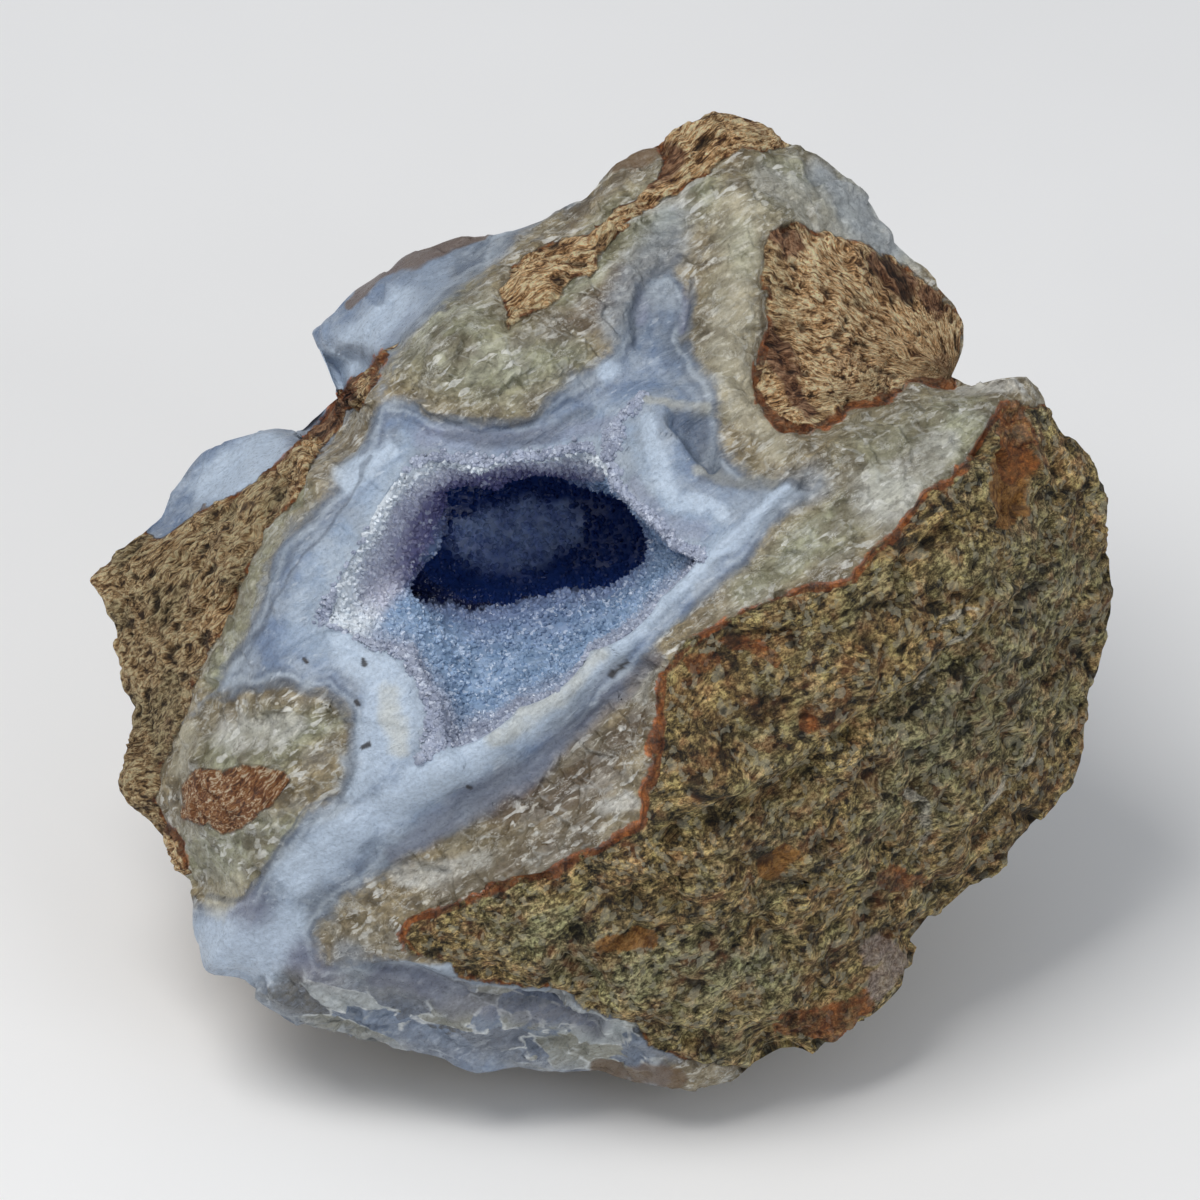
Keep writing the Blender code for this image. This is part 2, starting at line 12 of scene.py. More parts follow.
import bpy
import numpy as np
from bpy.props import FloatProperty, FloatVectorProperty, IntProperty, PointerProperty
from mathutils import Matrix, Vector


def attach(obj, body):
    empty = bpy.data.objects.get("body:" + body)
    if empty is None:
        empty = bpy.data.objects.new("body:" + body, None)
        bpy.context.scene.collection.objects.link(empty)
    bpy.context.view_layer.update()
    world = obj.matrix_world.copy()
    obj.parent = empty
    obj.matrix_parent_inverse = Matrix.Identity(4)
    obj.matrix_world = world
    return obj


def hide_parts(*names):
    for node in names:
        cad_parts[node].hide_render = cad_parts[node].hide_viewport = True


bl_info = {
    "name": "Blue Lace Agate Geode",
    "version": (1, 0, 0),
    "blender": (4, 5, 0),
    "location": "View3D > Sidebar > Geode",
    "description": "Broken agate geode with a crystal-lined hollow, and a small studio round it",
    "category": "Add Mesh",
}

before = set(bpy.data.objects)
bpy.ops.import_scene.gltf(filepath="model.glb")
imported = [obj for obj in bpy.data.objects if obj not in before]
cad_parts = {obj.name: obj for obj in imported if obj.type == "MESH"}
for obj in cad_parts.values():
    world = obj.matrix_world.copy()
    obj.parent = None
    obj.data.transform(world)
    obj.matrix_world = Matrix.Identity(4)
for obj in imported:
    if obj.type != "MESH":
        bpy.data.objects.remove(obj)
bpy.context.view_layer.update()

MM = 0.001
TINY = 1e-6
FACE_RISE = math.radians(38)  # how far the broken face looks up from the horizon
BASE_DROP = 50  # from the face frame's origin down to the resting plane
BASE_MIDDLE = (-0.1, 3.4)  # world x and y of the resting spot's middle before it becomes the origin

SHEET_MIDDLE = (-10, 0)  # the middle of the hollow's mouth, which every ring goes round
RIM_DEPTH = 3  # how far the front and the back stand off the outline where they roll over into it
ROLL = 12  # the higher, the tighter that roll
BLEND = 1.2  # rounding of a ridge or a groove
FINE_TURNS = 7201  # angles from which the columns' own are worked out
EVEN_RING = 0.6  # how far out the ring lies along which the columns are spaced evenly
RIM_ROWS = 1.5  # how much closer the rows lie at the outline
COLUMNS_KEPT = 3  # the back and the hollow have one column for so many of the front's
POLE_SIZE = 0.004  # of the back's reach, where its last row is closed
BACK_BULGE = 0.9  # the lower, the closer the back's rows lie at the outline
FACE_RINGS = ("inner_face", "middle_face", "outer_face")

AGATE_SMOOTHNESS = 0.25  # share of the rock's roughness that the agate has
EDGE_WIDTH = 1.5  # over which one passes into the other
RIM_CALM = 0.8  # share of the roughness that the outline itself goes without
GROOVE_DEPTH = 0.35  # along the rock's edges
GROOVE_WIDTH = 0.6  # to either side of them
FIBRE_BEND = 1.8  # how far noise bends the host rock's fibres
FIBRE_SLANT = math.radians(33)  # of the fibres and streaks, from the lower left to the upper right
FAN_MIDDLE = (41.9, 26.3)  # where the fibres of the upper right rock run together
FAN_REACH = 18  # the radius at which they lie as closely as elsewhere

BACK_AGATE = 8  # how far the agate reaches round the outline onto the back, at most
ZONE_FADE = (2, 9)  # from here to there round the outline the front's zones end
KIND_FADE = (3, 14)  # and its kinds of rock give way to the back's own
BROWN_EDGE = (4, 20)  # from here to there leftwards the back passes from basalt to brown rock

RING_SHRINK = 0.9  # of the mouth's own outline in the rings behind it
RIM_LIP = 2  # least depth of such a ring behind the rim
LEDGE_RING = 3  # which of the hollow's rings is the ledge
LEDGE_MIDDLE = (-8.5, 7)

CRYSTAL_SIDES = 6
CRYSTAL_POINTS = 2 * CRYSTAL_SIDES + 1  # of one crystal: two rings and its tip
CRYSTAL_ROOT = 0.4  # how deep it is rooted
SHOULDER_WIDTH = 0.92  # share of its width where the tip begins
SHOULDER_HEIGHT = 0.45  # share of its length there
TIP_STRAY = 0.08  # how far the tip lies off the axis

# Chips of each kind: their spacing, tilt and steps, the width over which two blend, and their seed.
LARGE_CHIPS = (11, 0.16, 0.55, 1.2, 4)
EDGE_CHIPS = (5, 0.3, 0.5, 0.5, 95)
ROCK_CHIPS = (4.4, 0.42, 0.6, 0.4, 60)
QUARTZ_CHIPS = (4.5, 0.22, 0.2, 0.25, 70)
QUARTZ_SPLINTERS = (1.7, 0.3, 0.14, 0.15, 80)
SHARD_CHIPS = (6, 0.3, 0.3, 0.4, 75)
AGATE_CHIPS = (7, 0.1, 0.12, 0.4, 90)
SEED_STRAY = 0.45  # how far a chip's seed lies from its cell's middle, in cells
HASH_FACTORS = (374761393, 668265263, 2147483647, 1274126177)
HASH_BITS = 0xFFFFFFFF

# The studio, in metres; the sensor in millimetres.
FLOOR_REACH = 2
LIGHT_AIM = (0, 0, 0.045)
CAMERA_DISTANCE = 2
CAMERA_REACH = 20
VIEW_WIDTH = 0.144  # what the frame takes in at the face frame's origin
SENSOR = 36

# The outline seen square on to the face, clockwise from the peak: x, y and its own w.
OUTLINE = [
    (13.7, 58.3, -6), (19.4, 57.1, -7), (24, 54.5, -8), (28.2, 52.4, -10), (33.6, 46.6, -10), (37.7, 41, -8),
    (42.6, 36.2, -4), (43.9, 33.4, -2), (42.3, 26.8, 3), (44.4, 25.6, 8), (48, 26.6, 12), (50.9, 26.8, 12),
    (55.4, 20.4, 10), (60.4, 14.2, 6), (61, 4.8, 2), (60, -6, -1), (57.8, -16.8, -2), (57, -21, -3),
    (50.4, -28.8, -2), (46.2, -33.6, -1), (37.2, -40.4, 0), (35.6, -45.8, 2), (30.6, -51, 3),
    (25.2, -53.7, 4), (21.6, -53.7, 4), (13.8, -58.1, 5), (8.4, -58.3, 6), (0, -56.4, 6), (-9.6, -55.2, 7),
    (-15.6, -55.8, 8), (-24, -53, 8), (-36, -50, 8), (-42.6, -45.4, 8), (-47, -44, 8), (-48.6, -33.8, 5),
    (-52.2, -29.4, 2), (-56.5, -24.5, 0), (-56, -13.2, -3), (-59.3, -2.4, -6), (-61, 2.6, -7),
    (-56.4, 7.4, -9), (-53.4, 9.6, -13), (-48, 18, -16), (-39, 20.7, -16), (-36, 19.8, -13),
    (-31.6, 24.6, -11), (-34.8, 32.4, -18), (-29.4, 37.8, -17), (-21.6, 42.2, -14), (-12.6, 44.2, -10),
    (-4.8, 46.8, -9), (-1.8, 48.6, -8), (1.8, 52.8, -7), (6.6, 54.2, -7), (10.2, 57, -6),
]

# The hollow's mouth, clockwise from its top left corner.
MOUTH = [
    (-20.4, 16.8, 17), (-14.4, 15.9, 17), (-7.2, 16.6, 16), (-1.2, 17.8, 17), (1.2, 16.2, 21),
    (1.6, 13.6, 22), (5, 10, 24), (8.8, 6, 26), (12, 4.8, 27.5), (7.2, 0, 28), (-1.2, -6, 28),
    (-9.6, -12.6, 28), (-17.4, -17.4, 28), (-19, -12, 27), (-22.2, -6.2, 26), (-30.6, -3.4, 23),
    (-32.2, -2.6, 21.5), (-28.2, 6.6, 19.5), (-24, 14.4, 18),
]

# Lines and spots of the front: ridges, grooves and the faces between them.
FRONT = {
    "rock edge": [
        (-23.4, -40.2, 22), (-12, -33.8, 27), (-4.8, -31.4, 29), (1.2, -28.6, 31), (5.8, -24.6, 33),
        (6.2, -19.2, 33), (5.8, -13.8, 33), (7.4, -8.2, 33), (12, -3.8, 33), (19.2, -0.2, 33),
        (26.4, 1.8, 32), (31.4, 4.8, 31), (36.6, 10.2, 29), (41.4, 15, 27), (46.2, 21, 23),
    ],
    "rock foot": [(-19.2, -42.6, 21), (-9.6, -45.4, 19), (0, -49.4, 17), (6, -53, 14), (12, -55.2, 11)],
    "rock crease": [(18, -21, 33.5), (30, -13.4, 31), (43.2, -5.4, 26), (48, 1.2, 24), (51.6, 14.4, 19)],
    "rock face": [
        (12, -33.6, 30), (30, -30, 23), (45.6, -18, 15), (19.2, -48, 15), (4.8, -43.2, 23), (54, 9.6, 15),
        (32.4, -43.2, 8), (55.2, -6, 9), (20, -11, 34), (52, 20, 16),
    ],
    "white lip": [
        (-46.2, -42.6, 14), (-40.8, -36, 19), (-34.8, -30, 23), (-30.6, -26.4, 26), (-24, -22.2, 28),
        (-18, -18.8, 29.5), (-12, -15.6, 30), (-4.8, -10.8, 30.5), (2.4, -5.4, 30.5), (9.6, 0.6, 30),
        (14.4, 4.8, 29.5), (20.4, 10.2, 29), (27.6, 15.6, 28),
    ],
    "groove below the lip": [
        (-32.4, -39.6, 17), (-24, -32.4, 22), (-16.8, -27.6, 24), (-9.6, -24, 25.5), (-3.6, -20.4, 27),
        (1.2, -14.4, 28.5), (4.8, -8.4, 30),
    ],
    "underside chips": [
        (-36, -45.6, 14), (-26, -46.8, 15), (-20, -50.5, 12.5), (-8, -51, 13), (-30, -43.6, 17),
    ],
    "lower lobe": [(-26.4, -10.8, 28.5), (-24, -16.8, 29), (-31.2, -7.2, 26), (-36, -6, 23.5)],
    "nodule": [
        (-39.6, -12, 24.5), (-30, -16.8, 27.5), (-36, -16.8, 26), (-43.2, -19.2, 22.5), (-43.2, -24, 23),
        (-48, -19.2, 17), (-48, -27.6, 16), (-36, -25.2, 25), (-31.4, -23.8, 24.5), (-45, -33, 14),
    ],
    "left agate": [
        (-36, 0, 22), (-40.8, -2.4, 18.5), (-42.6, -9.6, 18.5), (-45, -15.6, 16), (-32.4, 9.6, 18.5),
        (-27.6, 18, 16.5), (-36, 4.8, 20), (-24, 20.4, 15.5),
    ],
    "left rock edge": [
        (-26, 29.8, 8), (-27.4, 26.4, 9), (-30, 22.8, 9.5), (-33.6, 17.4, 10.5), (-36.6, 11.4, 12),
        (-39.6, 7.2, 13), (-42.6, 1.2, 13.5), (-45, -4.8, 13), (-48, -10.8, 12), (-51, -17.4, 9),
        (-52.8, -23, 6),
    ],
    "left rock": [
        (-31.2, 24.2, 2), (-36, 19, 2), (-43.2, 13.4, -1), (-48, 9.6, -3), (-54, 7.6, -6), (-48, 2.4, 5),
        (-54, 2.4, 0), (-54, -6, 2), (-49.2, -6, 8), (-54, -16.8, 3), (-58, 1.2, -4),
    ],
    "low lobe behind": [(-44.4, 15.6, -9), (-39.6, 18.6, -8), (-50, 11.8, -10), (-42, 19.6, -11)],
    "high lobe behind": [
        (-31.2, 31.2, -9), (-28, 28.6, -7), (-24, 34.8, -3), (-21.6, 38.4, -5), (-26.4, 36, -7),
        (-29.5, 34.5, -11), (-18, 40.2, -6),
    ],
    "shoulder": [(-25.4, 30.2, 6), (-22.8, 32, 7.5), (-19.2, 36, 6.5), (-14.4, 39, 5), (-10.8, 42, 2)],
    "upper mass": [
        (-20.4, 30, 16), (-15.6, 32.4, 17), (-9.6, 31.2, 16.5), (-15.6, 25.8, 18), (-7.2, 26.4, 17),
        (-20.4, 24, 16.5), (-24, 25.2, 14), (-4.8, 36, 11), (0, 40.8, 7), (-7.2, 39.6, 7), (-12, 36, 12),
        (1.2, 32.4, 13), (-4.8, 31.2, 15), (6, 48, -1), (2.4, 44.4, 3), (12, 54, -3),
    ],
    "blue channel": [
        (-19.2, 21, 17), (-12, 20.4, 17.5), (-4.8, 22.8, 16.5), (1.2, 25.2, 15), (4.8, 27.6, 13.5),
        (7.4, 32.4, 10.5), (10.2, 38.4, 7), (12, 43.2, 4),
    ],
    "right mass": [
        (14.4, 33.6, 14), (16.8, 40.8, 10), (17.4, 45.6, 6), (24, 49.2, 0), (31.2, 46.8, -4),
        (18.6, 36, 14.5), (16.8, 30, 18), (16.8, 24, 20.5), (12, 24, 20),
    ],
    "upper right lobe": [
        (6, 21.6, 22), (8.4, 18, 25), (12, 14.4, 25.5), (7.2, 12, 25.5), (14.4, 9.6, 27.5), (16.8, 14.4, 26),
        (13.6, 21, 19.5), (3.6, 19.2, 21.5), (15.6, 17, 22.5),
    ],
    "slab": [
        (24, 19, 24.5), (30, 20.4, 23.5), (36, 22.6, 19.5), (42, 23.8, 16), (30, 12, 28.5), (36, 16.8, 26),
        (43.2, 20.4, 22), (21.6, 4.8, 30), (48.6, 24, 18),
    ],
    "block edge": [
        (20.2, 40.8, 9.5), (19.8, 36, 12.5), (18.8, 30, 15.5), (18.6, 25.8, 17.5), (21.6, 21.2, 20.5),
        (24.6, 20.4, 20.5), (30, 22.8, 16.5), (36, 24.8, 12.5), (42, 25.8, 9),
    ],
    "block": [
        (30, 36, 5), (30, 30, 10), (26.4, 26.4, 14.5), (36, 32.4, 3), (39.6, 36, -1), (36, 27.6, 8),
        (24, 42.6, 4), (31.2, 43, 0), (36.6, 40.6, -4), (24, 35, 10),
    ],
}

# Where the host rock shows on the front. The rest of the front is agate.
ROCKS = {
    "lower right": [
        (-24, -39.8), (-22.6, -38.2), (-19.2, -36.6), (-12, -34.1), (-6.6, -32.6), (-2.4, -30.4), (0, -28.6),
        (4.8, -26.2), (5.4, -24), (6.2, -20.4), (6.2, -15.6), (6.6, -12), (7.4, -8.4), (9.6, -5.8),
        (12.6, -3.4), (16.8, -1.2), (19.8, 0.2), (24, 1.2), (30, 2.8), (31.4, 5.4), (33.6, 7.2), (36, 9.6),
        (37.8, 12), (41.4, 14.6), (44.4, 18), (46.2, 21), (48, 23.4), (49.4, 23.8), (51.4, 22.6), (56, 24),
        (70, 0), (60, -45), (20, -70), (16.8, -56.4), (10.8, -55.4), (6, -53.4), (4.8, -50.4), (0, -49.4),
        (-3, -48), (-6.6, -46.2), (-12, -45.6), (-16.8, -45), (-19.2, -43), (-22.6, -42),
    ],
    "upper right": [
        (20.4, 44.2), (23.4, 45.4), (28.8, 43.9), (34.2, 41.8), (36.6, 40.6), (40.2, 37.8), (43.9, 33.6),
        (43.6, 30.6), (42.2, 26.4), (36, 25.8), (33.6, 24.2), (30, 23.4), (26.4, 20.2), (24.6, 19.8),
        (21.8, 20.6), (19.8, 21.8), (18.2, 25.4), (19, 29.4), (20.2, 33.6), (20.2, 37.2), (19.8, 41.4),
    ],
    "top": [
        (22.8, 60), (22.8, 55.2), (19.2, 54), (14.4, 53.4), (10.8, 50.4), (6, 47.4), (2.4, 43.8), (0, 41.4),
        (-4.8, 37.2), (-8.4, 34.6), (-11.4, 32.4), (-12, 37.2), (-10.2, 40.6), (-8.4, 42), (-4.8, 43.4),
        (-1.2, 44.4), (1.2, 46.2), (4.8, 48.6), (6.6, 51.6), (7.8, 60),
    ],
    "left": [
        (-24, 31.2), (-26.4, 29.4), (-29.4, 26.6), (-33.6, 21.8), (-37.2, 18.2), (-41.4, 14.4), (-48, 10.8),
        (-54, 7.8), (-62, 10), (-66, -10), (-60, -34), (-48.6, -32.4), (-51, -27.6), (-52.8, -24),
        (-52.8, -20.4), (-50.6, -14.4), (-47.4, -7.2), (-45, -3.6), (-43.4, 0), (-42, 4.8), (-39, 9.6),
        (-34.8, 14.4), (-33, 18), (-30.6, 22.2), (-28.2, 22.8), (-26.4, 27.6),
    ],
}

# Where the agate is clear to milky quartz, with rock lying over it in places. The rest of it is blue.
QUARTZ = {
    "upper and right": [
        (-25.8, 24), (-21, 23.3), (-19.2, 21.8), (-15.6, 20.9), (-12, 20.6), (-8.4, 21.7), (-5.8, 23.8),
        (-1.8, 27.4), (1.6, 30.6), (3.2, 34.2), (4.8, 37.2), (6.8, 39), (8.6, 39.8), (10.4, 38.2),
        (10.8, 35), (10.1, 31.2), (12, 28.1), (13.9, 25.8), (14.4, 21), (14.6, 17.4), (17.4, 15.4),
        (21, 13.4), (24, 13.2), (25.8, 14.6), (22.8, 10.6), (19.3, 6.6), (14.6, 1.8), (10.8, -1.4),
        (7.4, -4.8), (4.8, -8.2), (1.4, -12), (-3, -17), (-8.4, -21.4), (-14.4, -24.7), (-19.2, -28.6),
        (-24, -31), (-30.6, -35.2), (-33.8, -39.6), (-32.4, -43.4), (-22.9, -42.7), (-17.4, -44.9),
        (-6.7, -46.2), (-0.7, -48.7), (6, -51.6), (12, -72), (84, -72), (84, 72), (0, 72), (0, 50.4),
        (-6.6, 46.2), (-12, 41.4), (-16.8, 37.2), (-21, 33.6), (-24, 30),
    ],
    "left strip": [
        (-24.2, 29.8), (-25.8, 24), (-27.4, 20.2), (-30.6, 15.6), (-34.6, 11), (-37.8, 7), (-39.8, 2.6),
        (-41.4, -1.2), (-43.6, -6.4), (-45.4, -10.8), (-48.5, -13.4), (-54, -15.6), (-58.8, -12), (-60, 0),
        (-48, 4.8), (-40.8, 9.6), (-33.6, 16.8), (-26.4, 26.4),
    ],
    "nodule": [
        (-45.4, -11.3), (-42.6, -10.8), (-37.8, -10.1), (-32.9, -10.6), (-29.9, -13.8), (-29.2, -19.2),
        (-30.5, -22.8), (-32.4, -24.4), (-35.9, -26.5), (-39.2, -30.4), (-41.9, -35), (-46.6, -36.4),
        (-49.2, -36), (-54, -30), (-54, -15.6), (-48.5, -13.4),
    ],
}

NODULE_CORE = [
    (-49.9, -22.8), (-49.2, -21), (-46.2, -20.2), (-42, -19.9), (-37.8, -20.2), (-36.7, -21.6),
    (-38.4, -23.4), (-40.6, -25.8), (-43.8, -27.7), (-47.4, -27), (-49.6, -25.4),
]

# Spots of the back, from which its lumpy dome is spanned.
BACK = [
    (0, 0, -44), (2, 20, -40), (6, 38, -27), (25, 26, -31), (-18, 24, -31), (-38, 9, -25), (-32, -8, -35),
    (2, -28, -47), (0, -42, -38), (26, -28, -38), (-28, -32, -35), (36, 6, -33), (46, -10, -24),
    (-46, -12, -21), (22, -46, -22), (-20, -47, -21), (52, 12, -13), (20, 50, -15), (-42, -36, -10),
]

# The ledge behind which the hollow falls away, as seen square on to the face.
LEDGE = [
    (-18.4, 13.9), (-12.5, 13.6), (-3, 14.3), (2.9, 12.8), (5.9, 7.3), (5.4, 4.8), (0.7, 1.1), (-4.4, 1.2),
    (-9, -0.3), (-13.2, -1.3), (-18, -1), (-22.6, -0.6), (-23.6, 0.6), (-21.6, 4.8), (-19.4, 6.6),
    (-18.4, 9.8),
]

# The hollow's rings behind its mouth: middle x and y, half width, half height, w, and how much of the mouth's
# own outline is left in the ring.
HOLLOW_RINGS = [
    (-9.6, 1.6, 19, 14.5, 19, 0.75), (-8.6, 4.4, 16.6, 11.2, 12, 0.35), (-7.2, 8.4, 14.8, 8.8, 4, 0),
    (-6.8, 8.6, 17.4, 10.8, -2, 0), (-6.8, 8.6, 15.6, 9.8, -8, 0), (-6.8, 8.6, 8.6, 5.6, -11.5, 0),
    (-6.8, 8.6, 0.4, 0.4, -13, 0),
]

